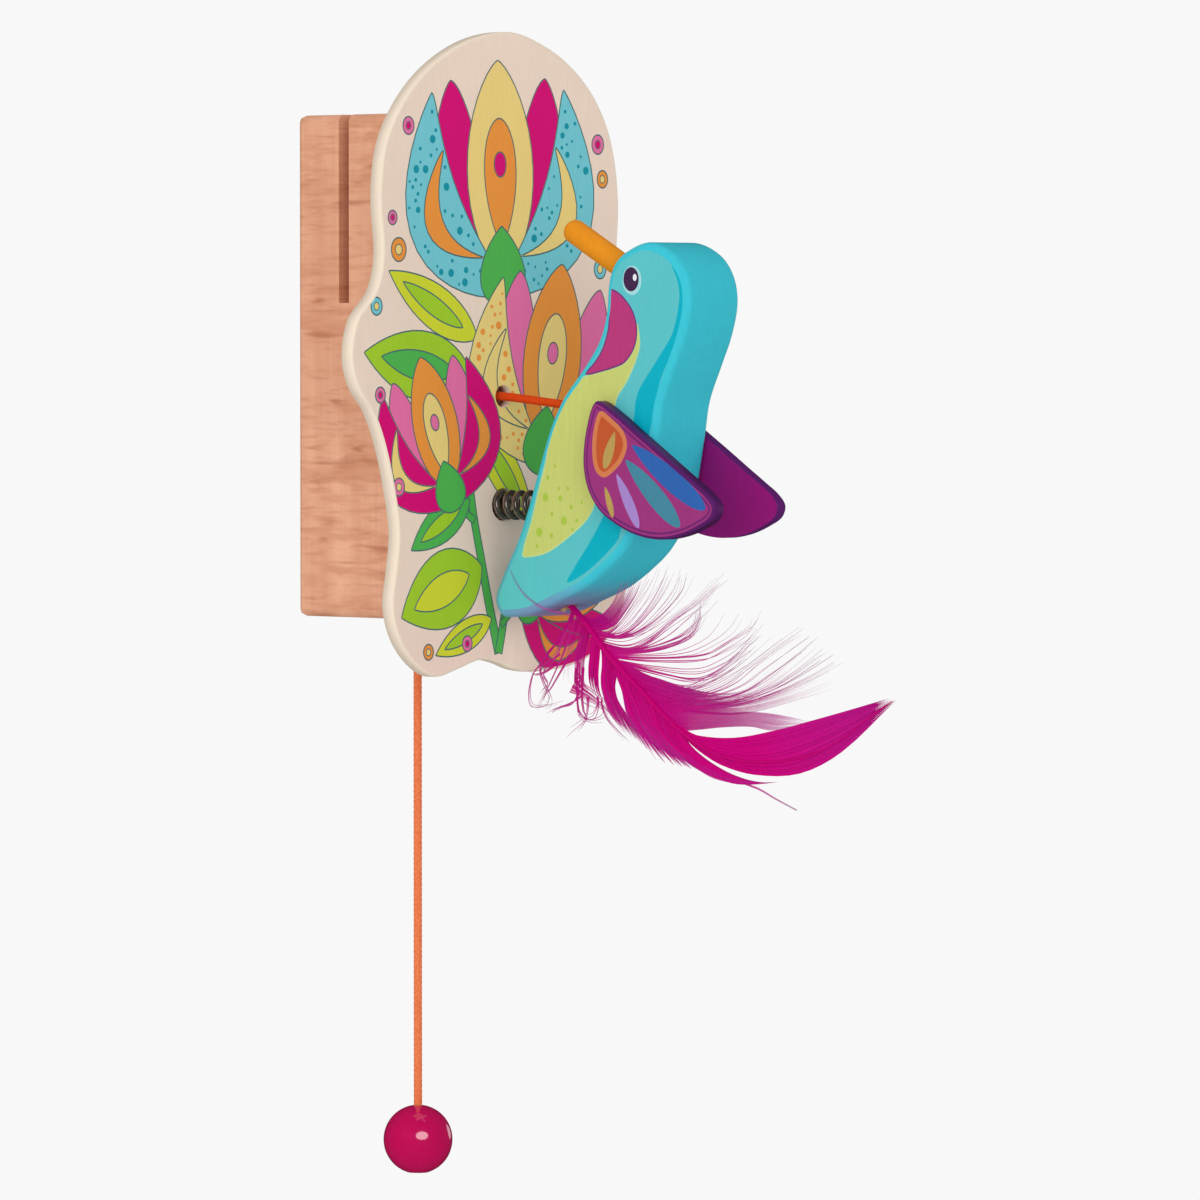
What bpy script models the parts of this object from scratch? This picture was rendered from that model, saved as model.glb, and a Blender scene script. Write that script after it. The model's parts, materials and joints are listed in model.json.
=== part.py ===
"""Wooden bird door knocker.

A flat wooden bird stands on a coil spring in front of a face plate, which is glued to a slotted
beech sound block. A cord runs from the bird's chest through the plate, turns down inside the block
and ends in a ball. A pull on the ball tips the bird, and its beak taps the plate.

Sizes are in millimetres. X points right, -Y points away from the wall and Z points up. The origin
is the middle of the block's back face, which lies on the wall.
"""

import math

import bmesh
import bpy
from mathutils import Matrix, Vector

MM = 0.001

# Clearances
GLUE_GAP = 0.3  # between faces that are glued together
FIT = 0.3  # round a peg, a dowel, a cord or a spring in its hole
END_GAP = 0.5  # between the end of a piece and the bottom of its blind hole

# Sound block
BLOCK_WIDTH = 57.0
BLOCK_HEIGHT = 144.0
BLOCK_DEPTH = 50.3
BLOCK_EDGE = 2.0
KERF_WIDTH = 4.0
KERF_DEPTH = 53.9
KERF_BACK_LEAF = 16.8  # wood between the wall and the saw slot

# Keyhole for a wall screw, in the block's back
HANG_FROM_TOP = 30.0
HANG_HEAD = 9.5
HANG_NECK = 5.0
HANG_DEPTH = 9.0
HANG_LIP = 3.5
HANG_RISE = 9.0

# Face plate
PLATE_WIDTH = 115.5
PLATE_HEIGHT = 183.6
PLATE_THICKNESS = 4.0
PLATE_EDGE = 0.8
PLATE_CENTRE = (-4.3, 3.7)  # from the middle of the block

# Spring
SPRING_DROP = 39.6  # below the middle of the block
SPRING_DIAMETER = 8.8
SPRING_WIRE = 1.9
SPRING_PITCH = 3.7
SPRING_REACH = 19.2  # from the plate to the bird's chest
SPRING_IN_BLOCK = 8.0
SPRING_IN_BIRD = 11.0

# Cord, from the chest through the plate and the block to the ball
CORD_DIAMETER = 2.5
CORD_HOLE = 6.5
CORD_HOLE_DROP = 8.6  # below the middle of the block
CORD_RISE = 28.1  # above the spring, where it enters the chest
CORD_IN_BIRD = 13.0
CORD_BEND = 5.5
CORD_FROM_WALL = 20.6
CORD_BORE = 5.0
CORD_HANG = 141.9  # below the block, down to the ball
CORD_GIVE = 5.0  # free length inside the block, for the cord to run upwards
CORD_TAIL = 5.0  # of straight cord past the block's bottom, to bend below it when the bird leans back
CHEST_PEG = 2.6
CHEST_PEG_SINK = 1.5  # below the chest's surface

# Pull ball
BALL_DIAMETER = 20.0
KNOT_DIAMETER = 5.4
KNOT_HEIGHT = 4.6
KNOT_RECESS = 6.2

# Bird
BIRD_LENGTH = 105.9
BIRD_DEPTH = 74.7
BIRD_THICKNESS = 22.0
BIRD_EDGE = 2.2
BEAK_DIAMETER = 7.0
BEAK_REACH = 28.9
BEAK_IN_HEAD = 14.0
BEAK_SLOPE = 28.6  # degrees above level
BEAK_HEIGHT = 65.4  # above the spring, where it leaves the head
BEAK_ROUND = 0.45  # length of its round tip, as a share of its diameter
WING_LENGTH = 49.2
WING_HEIGHT = 38.5
WING_THICKNESS = 4.0
WING_EDGE = 0.8
WING_PLACE = (25.9, -8.5)  # lowest corner of the wing's box, from the spring's seat

# Feather
QUILL_DIAMETER = 1.9
QUILL_TIP = 0.5
QUILL_IN_BIRD = 9.0
QUILL_PLACE = 7.2  # in front of the spring's seat, where it leaves the tail
QUILL_PEG = 1.9
QUILL_PEG_SINK = 1.2  # below the tail's surface
FEATHER_LENGTH = 119.8
FEATHER_DROP = 41.9
VANE_THICKNESS = 0.8
VANE_CUP = 0.22  # sideways curl, as a share of the vane's width
DOWN_SPAN = (0.03, 0.1)  # shares of the shaft between which the loose barbs grow
DOWN_ABOVE = (12.0, 46.0)  # length of the first barb and of the last one
DOWN_BELOW = (20.0, 30.0)
DOWN_SWEEP = 30.0  # degrees by which the barbs above the shaft lean towards its tip
DOWN_BARBS = 6
DOWN_FILL = 0.45  # width between two barbs, as a share of the barbs' length

# Facets, cutters and poles
BORE_SIDES = 24
CORD_SIDES_STEP = 2
SPRING_STEPS = 12
OUTLINE_STEPS = 3
BALL_STEPS = 18
BALL_SIDES = 28
KNOT_SIDES = 14
PEG_SIDES = 12
QUILL_SIDES = 8
ROUND_STEPS = 8
OVERRUN = 1.0  # by which a cutter reaches past the face that it opens
POLE = 0.05  # radius of the flat that a round end keeps, as a share of its diameter

# The face plate's edge, seen from the front, clockwise from the top
PLATE_OUTLINE = [
    (4, 95.5), (18, 91.9), (29.5, 85.8), (39, 77), (45.5, 65.3), (48.5, 50), (48.1, 35.7), (46, 22),
    (45, 8), (47, -6), (50.5, -20), (52.8, -36), (53, -53), (51.1, -68.3), (44, -79.5), (32, -85.8),
    (14, -87.9), (5.7, -87), (-1.5, -84.8), (-8.5, -83.8), (-17, -86), (-27, -88.1), (-35, -84.3),
    (-41.5, -77), (-44.4, -67.9), (-43, -57.5), (-41.8, -47.3), (-43.8, -35.5), (-47.5, -22.5),
    (-52, -13), (-58, -5.5), (-60.4, 3), (-58, 13.2), (-50.5, 21.5), (-47.8, 31.5), (-49, 48),
    (-46.7, 63), (-39.5, 75), (-28.5, 85.1), (-13, 92.8),
]

# The bird's edge from the side, in front of and above the spring's seat in its chest, from the
# crown down the chest and up the back
BIRD_OUTLINE = [
    (46.3, 74.3), (38.8, 72.5), (33.4, 68.9), (30.8, 63), (29.9, 54.6), (27.3, 47.1), (21.2, 39.1),
    (13.7, 31), (8.7, 22.8), (4.7, 12.7), (0, 0), (-3.9, -9.1), (-10.1, -19.9), (-12.9, -26.6),
    (-10.7, -31.2), (-5.7, -31.6), (1.3, -30.6), (11.5, -26.9), (21.6, -22.9), (31.6, -16.6),
    (37.5, -11.5), (42.9, -3.8), (46.4, 5.3), (49.7, 20.9), (51.4, 29.8), (55.6, 39.2), (59.7, 48.3),
    (61.8, 57.5), (60.2, 65.2), (55.2, 71),
]

# A wing's edge from the side, from its front top corner along the straight top
WING_OUTLINE = [
    (30.5, 30), (37.2, 26.6), (45.2, 21.4), (53.2, 16.3), (61, 11.2), (67.2, 7.2), (71.8, 4.1), (74.4, 0.9),
    (73.3, -2.4), (69, -4.9), (62.5, -7.3), (54.5, -8.5), (46, -7.6), (38, -4.8), (31.5, -0.9), (27.2, 4.6),
    (25.3, 11), (25.5, 18), (27, 24.5), (28.6, 28.5),
]

# The feather's shaft from the side, from the tail out and down, and up again to its tip
SHAFT_LINE = [
    (7, -28.3), (13.2, -33.5), (20.4, -40.9), (25.5, -45.3), (32.7, -50.6), (40.8, -56.9), (48.9, -62.5),
    (57, -66.6), (66, -69.4), (80.9, -70.2), (95.7, -68), (108.4, -63), (118.1, -56.9), (126.8, -51.9),
]

# Widths of the feather at shares of its shaft: where, above the shaft, below the shaft
VANE_WIDTHS = [
    (0.11, 0.5, 7.5), (0.17, 1, 11), (0.25, 3.3, 12.6), (0.34, 7.5, 11.8), (0.42, 11.4, 9.8), (0.5, 15, 8),
    (0.57, 16.5, 6.4), (0.64, 15, 4.6), (0.71, 11.5, 4), (0.78, 8.6, 4), (0.85, 6, 2.6), (0.93, 3.2, 1.6),
    (0.99, 0.7, 0.5),
]


# Places worked out from the sizes
block_front = -BLOCK_DEPTH
plate_back = block_front - GLUE_GAP
plate_front = plate_back - PLATE_THICKNESS
chest = plate_front - SPRING_REACH
spring_radius = (SPRING_DIAMETER - SPRING_WIRE) / 2
spring_seat = SPRING_DIAMETER + 2 * FIT
chest_hole = CORD_DIAMETER + CHEST_PEG + 3 * FIT
quill_hole = QUILL_DIAMETER + QUILL_PEG + 3 * FIT
ball_bore = CORD_DIAMETER + 2 * FIT
block_bottom = -BLOCK_HEIGHT / 2
ball_top = block_bottom - CORD_HANG
knot_top = ball_top - BALL_DIAMETER + KNOT_RECESS - FIT
bird_pivot = Vector((0, plate_front - SPRING_REACH / 2, -SPRING_DROP))
swing_pivot = Vector((0, -CORD_FROM_WALL, block_bottom - CORD_TAIL - FIT - CORD_DIAMETER / 2))


# Curves


def smooth_curve(points, steps, closed):
    """A curve through the points, with the given number of steps between two of them."""
    points = [Vector(p) for p in points]
    count = len(points)

    def point(i):
        return points[i % count] if closed else points[max(0, min(i, count - 1))]

    def slope(i):
        before, after = point(i - 1), point(i + 1)
        return (after - before) / ((point(i) - before).length + (after - point(i)).length)

    curve = []
    for i in range(count if closed else count - 1):
        a, b = point(i), point(i + 1)
        reach = (b - a).length
        for k in range(steps):
            t = k / steps
            curve.append(
                a * (1 + 2 * t) * (1 - t) ** 2
                + slope(i) * reach * t * (1 - t) ** 2
                + b * t * t * (3 - 2 * t)
                - slope(i + 1) * reach * t * t * (1 - t)
            )
    return curve if closed else curve + [points[-1]]


def fitted(points, low, size):
    """The points moved and stretched, so that their box has this low corner and this size."""
    lows = [min(p[k] for p in points) for k in range(2)]
    highs = [max(p[k] for p in points) for k in range(2)]
    return [
        tuple(low[k] + (p[k] - lows[k]) * size[k] / (highs[k] - lows[k]) for k in range(2)) for p in points
    ]


def along(curve, share):
    """The point at this share of the curve's length, and the curve's direction there."""
    lengths = [(b - a).length for a, b in zip(curve, curve[1:])]
    left = share * sum(lengths)
    for a, b, length in zip(curve, curve[1:], lengths):
        if left <= length:
            break
        left -= length
    return a.lerp(b, min(1, left / length)), (b - a).normalized()


def crossing(outline, height, rear):
    """How far in front the closed outline crosses this height: its rearmost place, or its foremost."""
    found = []
    for a, b in zip(outline, outline[1:] + outline[:1]):
        if (a[1] - height) * (b[1] - height) <= 0 and a[1] != b[1]:
            found.append(a[0] + (b[0] - a[0]) * (height - a[1]) / (b[1] - a[1]))
    return min(found) if rear else max(found)


# The bird's own plane: distance in front of the spring's seat, and height above it


def on_bird(front, up, side=0.0):
    return Vector((side, chest - front, -SPRING_DROP + up))


outline_lows = [min(p[k] for p in BIRD_OUTLINE) for k in range(2)]
outline_highs = [max(p[k] for p in BIRD_OUTLINE) for k in range(2)]
bird_scale = [size / (outline_highs[k] - outline_lows[k]) for k, size in enumerate((BIRD_DEPTH, BIRD_LENGTH))]
bird_edge = smooth_curve(
    [(p[0] * bird_scale[0], p[1] * bird_scale[1]) for p in BIRD_OUTLINE], OUTLINE_STEPS, closed=True
)


# Objects


def material(name, colour, roughness, metallic=0.0):
    made = bpy.data.materials.new(name)
    made.use_nodes = True
    shader = made.node_tree.nodes["Principled BSDF"]
    shader.inputs["Base Color"].default_value = (*colour, 1.0)
    shader.inputs["Roughness"].default_value = roughness
    shader.inputs["Metallic"].default_value = metallic
    made.diffuse_color = (*colour, 1.0)
    return made


def solid(name, bm, finish):
    """A mesh object from a closed bmesh whose points are in millimetres."""
    bmesh.ops.scale(bm, vec=(MM, MM, MM), verts=bm.verts)
    bmesh.ops.recalc_face_normals(bm, faces=bm.faces)
    mesh = bpy.data.meshes.new(name)
    bm.to_mesh(mesh)
    bm.free()
    made = bpy.data.objects.new(name, mesh)
    bpy.context.collection.objects.link(made)
    if finish:
        mesh.materials.append(finish)
        mesh.shade_smooth()
        mesh.set_sharp_from_angle(angle=math.radians(40))
    return made


def loft(name, rings, finish):
    """A solid whose skin runs through rings of points, with flat ends."""
    bm = bmesh.new()
    made = [[bm.verts.new(p) for p in ring] for ring in rings]
    for low, high in zip(made, made[1:]):
        for i in range(len(low)):
            j = (i + 1) % len(low)
            bm.faces.new((low[i], low[j], high[j], high[i]))
    bm.faces.new(made[0])
    bm.faces.new(made[-1])
    return solid(name, bm, finish)


def circle(centre, direction, radius, sides):
    """A ring of points round a centre."""
    turn = Vector(direction).to_track_quat("Z", "Y")
    angles = [2 * math.pi * i / sides for i in range(sides)]
    return [Vector(centre) + turn @ Vector((math.cos(a), math.sin(a), 0)) * radius for a in angles]


def rod(name, start, end, diameter, finish, sides=BORE_SIDES):
    direction = Vector(end) - Vector(start)
    return loft(name, [circle(p, direction, diameter / 2, sides) for p in (start, end)], finish)


def turned(name, start, direction, profile, finish, sides=BORE_SIDES):
    """A solid of revolution. The profile gives distances along the axis and radii."""
    direction = Vector(direction).normalized()
    rings = [circle(Vector(start) + direction * s, direction, r, sides) for s, r in profile]
    return loft(name, rings, finish)


def bead(diameter, height, steps=ROUND_STEPS):
    """The profile of a ball of this diameter, stretched or pressed to this height."""
    profile = []
    for i in range(steps + 1):
        a = math.pi * i / steps
        profile.append((height / 2 * (1 - math.cos(a)), max(diameter / 2 * math.sin(a), diameter * POLE)))
    return profile


def slab(name, outline, place, low, high, low_edge, high_edge, finish):
    """A flat piece with rounded edges. place gives the space point of an outline point and a depth."""
    count = len(outline)
    area = sum(outline[i - 1].x * outline[i].y - outline[i].x * outline[i - 1].y for i in range(count))
    outward = []
    for i in range(count):
        run = outline[(i + 1) % count] - outline[i - 1]
        outward.append(Vector((run.y, -run.x)).normalized() * (1 if area > 0 else -1))
    levels = []
    for k in (0, 1, 2):
        turn = k * math.pi / 4
        levels.append((low + low_edge * (1 - math.cos(turn)), low_edge * (1 - math.sin(turn))))
    for k in (2, 1, 0):
        turn = k * math.pi / 4
        levels.append((high - high_edge * (1 - math.cos(turn)), high_edge * (1 - math.sin(turn))))
    rings = []
    for depth, inset in levels:
        if rings and depth == rings[-1][0] and inset == rings[-1][1]:
            continue
        rings.append((depth, inset, [place(*(p - n * inset), depth) for p, n in zip(outline, outward)]))
    return loft(name, [ring for _, _, ring in rings], finish)


def box(name, low, high, finish=None, edge=0.0):
    bm = bmesh.new()
    bmesh.ops.create_cube(bm, size=1)
    for v in bm.verts:
        v.co = Vector(low[k] if v.co[k] < 0 else high[k] for k in range(3))
    if edge:
        bmesh.ops.bevel(bm, geom=bm.edges, offset=edge, segments=2, profile=0.5, affect="EDGES")
    return solid(name, bm, finish)


def tube(name, points, diameter, finish):
    """A cord or a wire that follows the points."""
    data = bpy.data.curves.new(name, "CURVE")
    data.dimensions = "3D"
    data.bevel_depth = diameter / 2 * MM
    data.bevel_resolution = CORD_SIDES_STEP
    data.use_fill_caps = True
    line = data.splines.new("POLY")
    line.points.add(len(points) - 1)
    for target, point in zip(line.points, points):
        target.co = (*(Vector(point) * MM), 1)
    data.materials.append(finish)
    made = bpy.data.objects.new(name, data)
    bpy.context.collection.objects.link(made)
    return made


def cut(target, cutter):
    """Takes the cutter's shape out of the target."""
    cutter.hide_render = True
    cutter.display_type = "WIRE"
    step = target.modifiers.new(cutter.name, "BOOLEAN")
    step.operation = "DIFFERENCE"
    step.solver = "EXACT"
    step.object = cutter


def drill(target, name, start, end, diameter):
    cut(target, rod(name, start, end, diameter, None))


def pivot(name, place):
    made = bpy.data.objects.new(name, None)
    made.location = place * MM
    made.empty_display_size = 0.01
    bpy.context.collection.objects.link(made)
    return made


def carry(parent, *pieces):
    """Gives the pieces their origin at the parent's place, and the parent carries them."""
    for piece in pieces:
        piece.data.transform(Matrix.Translation(-parent.location))
        piece.parent = parent


# The pieces that stay on the wall


def make_block(wood):
    half = BLOCK_WIDTH / 2
    block = box("sound_block", (-half, block_front, block_bottom), (half, 0, BLOCK_HEIGHT / 2), wood, BLOCK_EDGE)
    kerf_front = -KERF_BACK_LEAF - KERF_WIDTH
    kerf_low = BLOCK_HEIGHT / 2 - KERF_DEPTH
    past = BLOCK_EDGE
    cut(
        block,
        box(
            "cut_kerf",
            (-half - past, kerf_front, kerf_low),
            (half + past, -KERF_BACK_LEAF, BLOCK_HEIGHT / 2 + past),
        ),
    )
    turn_up = -CORD_HOLE_DROP + CORD_HOLE / 2
    drill(block, "cut_cord_drop", (0, -CORD_FROM_WALL, block_bottom - past), (0, -CORD_FROM_WALL, turn_up), CORD_BORE)
    drill(
        block,
        "cut_cord_cross",
        (0, block_front - past, -CORD_HOLE_DROP),
        (0, -CORD_FROM_WALL + CORD_BORE / 2, -CORD_HOLE_DROP),
        CORD_HOLE,
    )
    drill(
        block,
        "cut_block_seat",
        (0, block_front - past, -SPRING_DROP),
        (0, block_front + SPRING_IN_BLOCK, -SPRING_DROP),
        spring_seat,
    )
    cut(block, make_keyhole())
    return block


def make_keyhole():
    """A round entry for a screw's head, and a slot above it that is wider behind its lip."""
    low = BLOCK_HEIGHT / 2 - HANG_FROM_TOP
    sides = BORE_SIDES
    slot_width = HANG_HEAD * 0.998  # just under the entry's width, so that the two arcs never touch
    neck_end = -HANG_LIP - 0.2  # a little inside the wide slot, so that the two cutters join

    def profile(width):
        """The entry's lower arc, and a slot of this width with a round top."""
        top = low + HANG_RISE
        join = math.asin(width / HANG_HEAD) if width < HANG_HEAD else math.pi / 2
        points = []
        for i in range(sides + 1):
            a = math.pi / 2 + join + (2 * math.pi - 2 * join) * i / sides
            points.append(Vector((math.cos(a) * HANG_HEAD / 2, low + math.sin(a) * HANG_HEAD / 2)))
        for i in range(sides // 2 + 1):
            a = math.pi * i / (sides // 2)
            points.append(Vector((math.cos(a) * width / 2, top + math.sin(a) * width / 2)))
        return points

    narrow = [[(p.x, y, p.y) for p in profile(HANG_NECK)] for y in (OVERRUN, neck_end)]
    wide = [[(p.x, y, p.y) for p in profile(slot_width)] for y in (-HANG_LIP, -HANG_DEPTH)]
    neck = loft("cut_keyhole", narrow, None)
    under = loft("cut_keyhole_under", wide, None)
    under.hide_render = True
    under.display_type = "WIRE"
    join = neck.modifiers.new("undercut", "BOOLEAN")
    join.operation = "UNION"
    join.solver = "EXACT"
    join.object = under
    return neck


def make_plate(print_wood):
    low = (PLATE_CENTRE[0] - PLATE_WIDTH / 2, PLATE_CENTRE[1] - PLATE_HEIGHT / 2)
    edge = smooth_curve(fitted(PLATE_OUTLINE, low, (PLATE_WIDTH, PLATE_HEIGHT)), OUTLINE_STEPS, closed=True)
    plate = slab(
        "face_plate", edge, lambda x, z, y: Vector((x, y, z)), plate_front, plate_back, PLATE_EDGE, 0.0, print_wood
    )
    for name, drop, diameter in (
        ("cut_plate_cord", CORD_HOLE_DROP, CORD_HOLE),
        ("cut_plate_seat", SPRING_DROP, spring_seat),
    ):
        drill(plate, name, (0, plate_front - OVERRUN, -drop), (0, plate_back + OVERRUN, -drop), diameter)
    return plate


def make_spring(steel):
    start = block_front + SPRING_IN_BLOCK - END_GAP - SPRING_WIRE / 2
    end = chest - SPRING_IN_BIRD + END_GAP + SPRING_WIRE / 2
    turns = (start - end) / SPRING_PITCH
    count = round(turns * SPRING_STEPS)
    points = []
    for i in range(count + 1):
        a = 2 * math.pi * turns * i / count
        y = start + (end - start) * i / count
        points.append((spring_radius * math.cos(a), y, -SPRING_DROP + spring_radius * math.sin(a)))
    return tube("spring", points, SPRING_WIRE, steel)


# The bird


def make_body(teal):
    half = BIRD_THICKNESS / 2
    body = slab(
        "bird_body",
        bird_edge,
        lambda front, up, side: on_bird(front, up, side),
        -half,
        half,
        BIRD_EDGE,
        BIRD_EDGE,
        teal,
    )
    drill(
        body,
        "cut_bird_seat",
        on_bird(-SPRING_REACH / 2, 0),
        on_bird(SPRING_IN_BIRD, 0),
        spring_seat,
    )
    return body


def make_beak(body, orange):
    slope = math.radians(BEAK_SLOPE)
    entry = on_bird(crossing(bird_edge, BEAK_HEIGHT * bird_scale[1], rear=True), BEAK_HEIGHT * bird_scale[1])
    out = Vector((0, math.cos(slope), math.sin(slope)))
    root = entry - out * BEAK_IN_HEAD
    drill(body, "cut_beak_hole", root - out * END_GAP, entry + out * BEAK_DIAMETER, BEAK_DIAMETER + 2 * FIT)
    length = BEAK_IN_HEAD + BEAK_REACH
    round_tip = BEAK_DIAMETER * BEAK_ROUND
    profile = [(0, BEAK_DIAMETER / 2)]
    for i in range(ROUND_STEPS - 1):
        a = math.pi / 2 * i / (ROUND_STEPS - 1)
        profile.append((length - round_tip * (1 - math.sin(a)), BEAK_DIAMETER / 2 * math.cos(a)))
    profile.append((length, BEAK_DIAMETER * POLE))
    return turned("beak", root, out, profile, orange)


def make_wings(purple):
    low = (WING_PLACE[0] * bird_scale[0], WING_PLACE[1] * bird_scale[1])
    edge = smooth_curve(fitted(WING_OUTLINE, low, (WING_LENGTH, WING_HEIGHT)), OUTLINE_STEPS, closed=True)
    inner = BIRD_THICKNESS / 2 + GLUE_GAP
    outer = inner + WING_THICKNESS
    return [
        slab(name, edge, lambda front, up, w, s=side: on_bird(front, up, s * w), inner, outer, 0.0, WING_EDGE, purple)
        for name, side in (("wing_left", -1), ("wing_right", 1))
    ]


def cord_entry():
    """Where the cord enters the chest, and its direction from the plate into the bird."""
    up = CORD_RISE * bird_scale[1]
    mouth = on_bird(crossing(bird_edge, up, rear=True), up)
    hole = Vector((0, plate_front, -CORD_HOLE_DROP))
    return mouth, (mouth - hole).normalized()


def make_chest_peg(body, wood):
    """The hole that holds the cord's end, and the peg under the cord that jams it there."""
    mouth, inward = cord_entry()
    down = Vector((0, inward.z, -inward.y)).normalized()
    down = -down if down.z > 0 else down
    shift = chest_hole / 2 - FIT - CORD_DIAMETER / 2
    middle = mouth + down * shift
    reach = inward * CORD_IN_BIRD
    drill(body, "cut_cord_end", middle - inward * chest_hole, middle + reach, chest_hole)
    peg = mouth + down * (CORD_DIAMETER / 2 + FIT + CHEST_PEG / 2)
    start = peg + inward * CHEST_PEG_SINK
    return rod("chest_peg", start, peg + reach - inward * END_GAP, CHEST_PEG, wood, PEG_SIDES)


# The feather


def shaft():
    """The feather's shaft as a smooth curve, from its place in the tail."""
    start = (QUILL_PLACE * bird_scale[0], tail_height(QUILL_PLACE * bird_scale[0]))
    lows = min(p[1] for p in SHAFT_LINE)
    low = (start[0], start[1] - FEATHER_DROP)
    rise = (SHAFT_LINE[0][1] - lows) / (max(p[1] for p in SHAFT_LINE) - lows)
    line = fitted(SHAFT_LINE, low, (FEATHER_LENGTH, FEATHER_DROP / rise))
    return smooth_curve(line, 4, closed=False)


def tail_height(front):
    """The height of the bird's underside at this distance in front of the spring's seat."""
    found = []
    for a, b in zip(bird_edge, bird_edge[1:] + bird_edge[:1]):
        if (a[0] - front) * (b[0] - front) <= 0 and a[0] != b[0]:
            found.append(a[1] + (b[1] - a[1]) * (front - a[0]) / (b[0] - a[0]))
    return min(found)


def make_quill(body, line, magenta, wood):
    """The shaft, its hole in the tail and the peg beside it."""
    out = (line[1] - line[0]).normalized()
    side = Vector((out.y, -out.x))
    side = -side if side.x > 0 else side
    middle = line[0] + side * (quill_hole / 2 - FIT - QUILL_DIAMETER / 2)
    drill(
        body,
        "cut_quill_hole",
        on_bird(*(middle + out * quill_hole * 1.5)),
        on_bird(*(middle - out * QUILL_IN_BIRD)),
        quill_hole,
    )
    root = line[0] - out * (QUILL_IN_BIRD - END_GAP)
    points = [root] + line
    rings = []
    for i, p in enumerate(points):
        run = points[min(i + 1, len(points) - 1)] - points[max(i - 1, 0)]
        share = i / (len(points) - 1)
        radius = (QUILL_DIAMETER + (QUILL_TIP - QUILL_DIAMETER) * share) / 2
        rings.append(circle(on_bird(*p), on_bird(*run) - on_bird(0, 0), radius, QUILL_SIDES))
    quill = loft("feather_quill", rings, magenta)
    mouth = line[0] + side * (QUILL_DIAMETER / 2 + FIT + QUILL_PEG / 2)
    ends = [on_bird(*(mouth - out * depth)) for depth in (QUILL_PEG_SINK, QUILL_IN_BIRD - END_GAP)]
    return quill, rod("feather_peg", *ends, QUILL_PEG, wood, PEG_SIDES)


def vane_ring(line, share, sign, width, sweep=0.0):
    """A cut across the vane, above the shaft with sign 1 or below it with sign -1."""
    p, run = along(line, share)
    away = Vector((-run.y, run.x)) * sign
    root = p + away * (QUILL_DIAMETER / 2 + FIT)
    lean = away * math.cos(math.radians(sweep)) + run * math.sin(math.radians(sweep))
    half = VANE_THICKNESS / 2
    ring = []
    for reach, side in ((0, -half), (0, half), (width, half), (width, -half)):
        q = root + lean * reach
        ring.append(on_bird(q.x, q.y, side + VANE_CUP * reach))
    return ring


def make_vanes(line, magenta):
    made = []
    for name, sign, column in (("feather_vane_upper", 1, 1), ("feather_vane_lower", -1, 2)):
        widths = [Vector((row[0], row[column])) for row in VANE_WIDTHS]
        rings = [vane_ring(line, p.x, sign, p.y) for p in smooth_curve(widths, 3, closed=False)]
        made.append(loft(name, rings, magenta))
    return made


def make_down(line, magenta):
    """The loose barbs near the tail, as a comb on each side of the shaft."""
    made = []
    for name, sign, widths, sweep in (
        ("feather_down_upper", 1, DOWN_ABOVE, DOWN_SWEEP),
        ("feather_down_lower", -1, DOWN_BELOW, 0.0),
    ):
        rings = []
        steps = 2 * DOWN_BARBS
        for i in range(steps + 1):
            share = DOWN_SPAN[0] + (DOWN_SPAN[1] - DOWN_SPAN[0]) * i / steps
            width = widths[0] + (widths[1] - widths[0]) * i / steps
            rings.append(vane_ring(line, share, sign, width * (1 if i % 2 else DOWN_FILL), sweep))
        made.append(loft(name, rings, magenta))
    return made


# The cord and its ball


def make_cord_front(orange):
    """From the chest to the back of the face plate."""
    mouth, inward = cord_entry()
    hole = Vector((0, plate_front, -CORD_HOLE_DROP))
    inner = Vector((0, plate_back - GLUE_GAP / 2, -CORD_HOLE_DROP))
    end = mouth + inward * (CORD_IN_BIRD - END_GAP)
    points = [end, end.lerp(mouth, 0.5), mouth, mouth.lerp(hole, 0.25), mouth.lerp(hole, 0.5)]
    points += [mouth.lerp(hole, 0.75), hole, inner]
    return tube("cord_front", smooth_curve(points, 2, closed=False), CORD_DIAMETER, orange)


def inner_bottom():
    """The lower end of the bend that stays in the block."""
    return -CORD_HOLE_DROP - CORD_BEND - 2 * CORD_DIAMETER


def make_cord_inner(orange):
    """Through the block's cross bore and round into the drop bore."""
    middle = (-CORD_FROM_WALL - CORD_BEND, -CORD_HOLE_DROP - CORD_BEND)
    points = [(0, plate_back + GLUE_GAP / 2, -CORD_HOLE_DROP)]
    span = middle[0] - points[0][1]
    points += [(0, points[0][1] + span * k / 5, -CORD_HOLE_DROP) for k in range(1, 5)]
    for i in range(9):
        a = math.pi / 2 * i / 8
        points.append((0, middle[0] + CORD_BEND * math.sin(a), middle[1] + CORD_BEND * math.cos(a)))
    points.append((0, -CORD_FROM_WALL, inner_bottom()))
    return tube("cord_inner", points, CORD_DIAMETER, orange)


def straight_cord(name, top, bottom, orange):
    count = max(2, math.ceil((top - bottom) / (2.5 * CORD_DIAMETER)))
    points = [(0, -CORD_FROM_WALL, top + (bottom - top) * i / count) for i in range(count + 1)]
    return tube(name, points, CORD_DIAMETER, orange)


def make_cord_turn(orange):
    """The bit of cord under the block that bends when the ball swings."""
    low = swing_pivot - Vector((0, 0, CORD_DIAMETER / 2))
    return turned("cord_turn", low, (0, 0, 1), bead(CORD_DIAMETER, CORD_DIAMETER), orange, PEG_SIDES)


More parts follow.
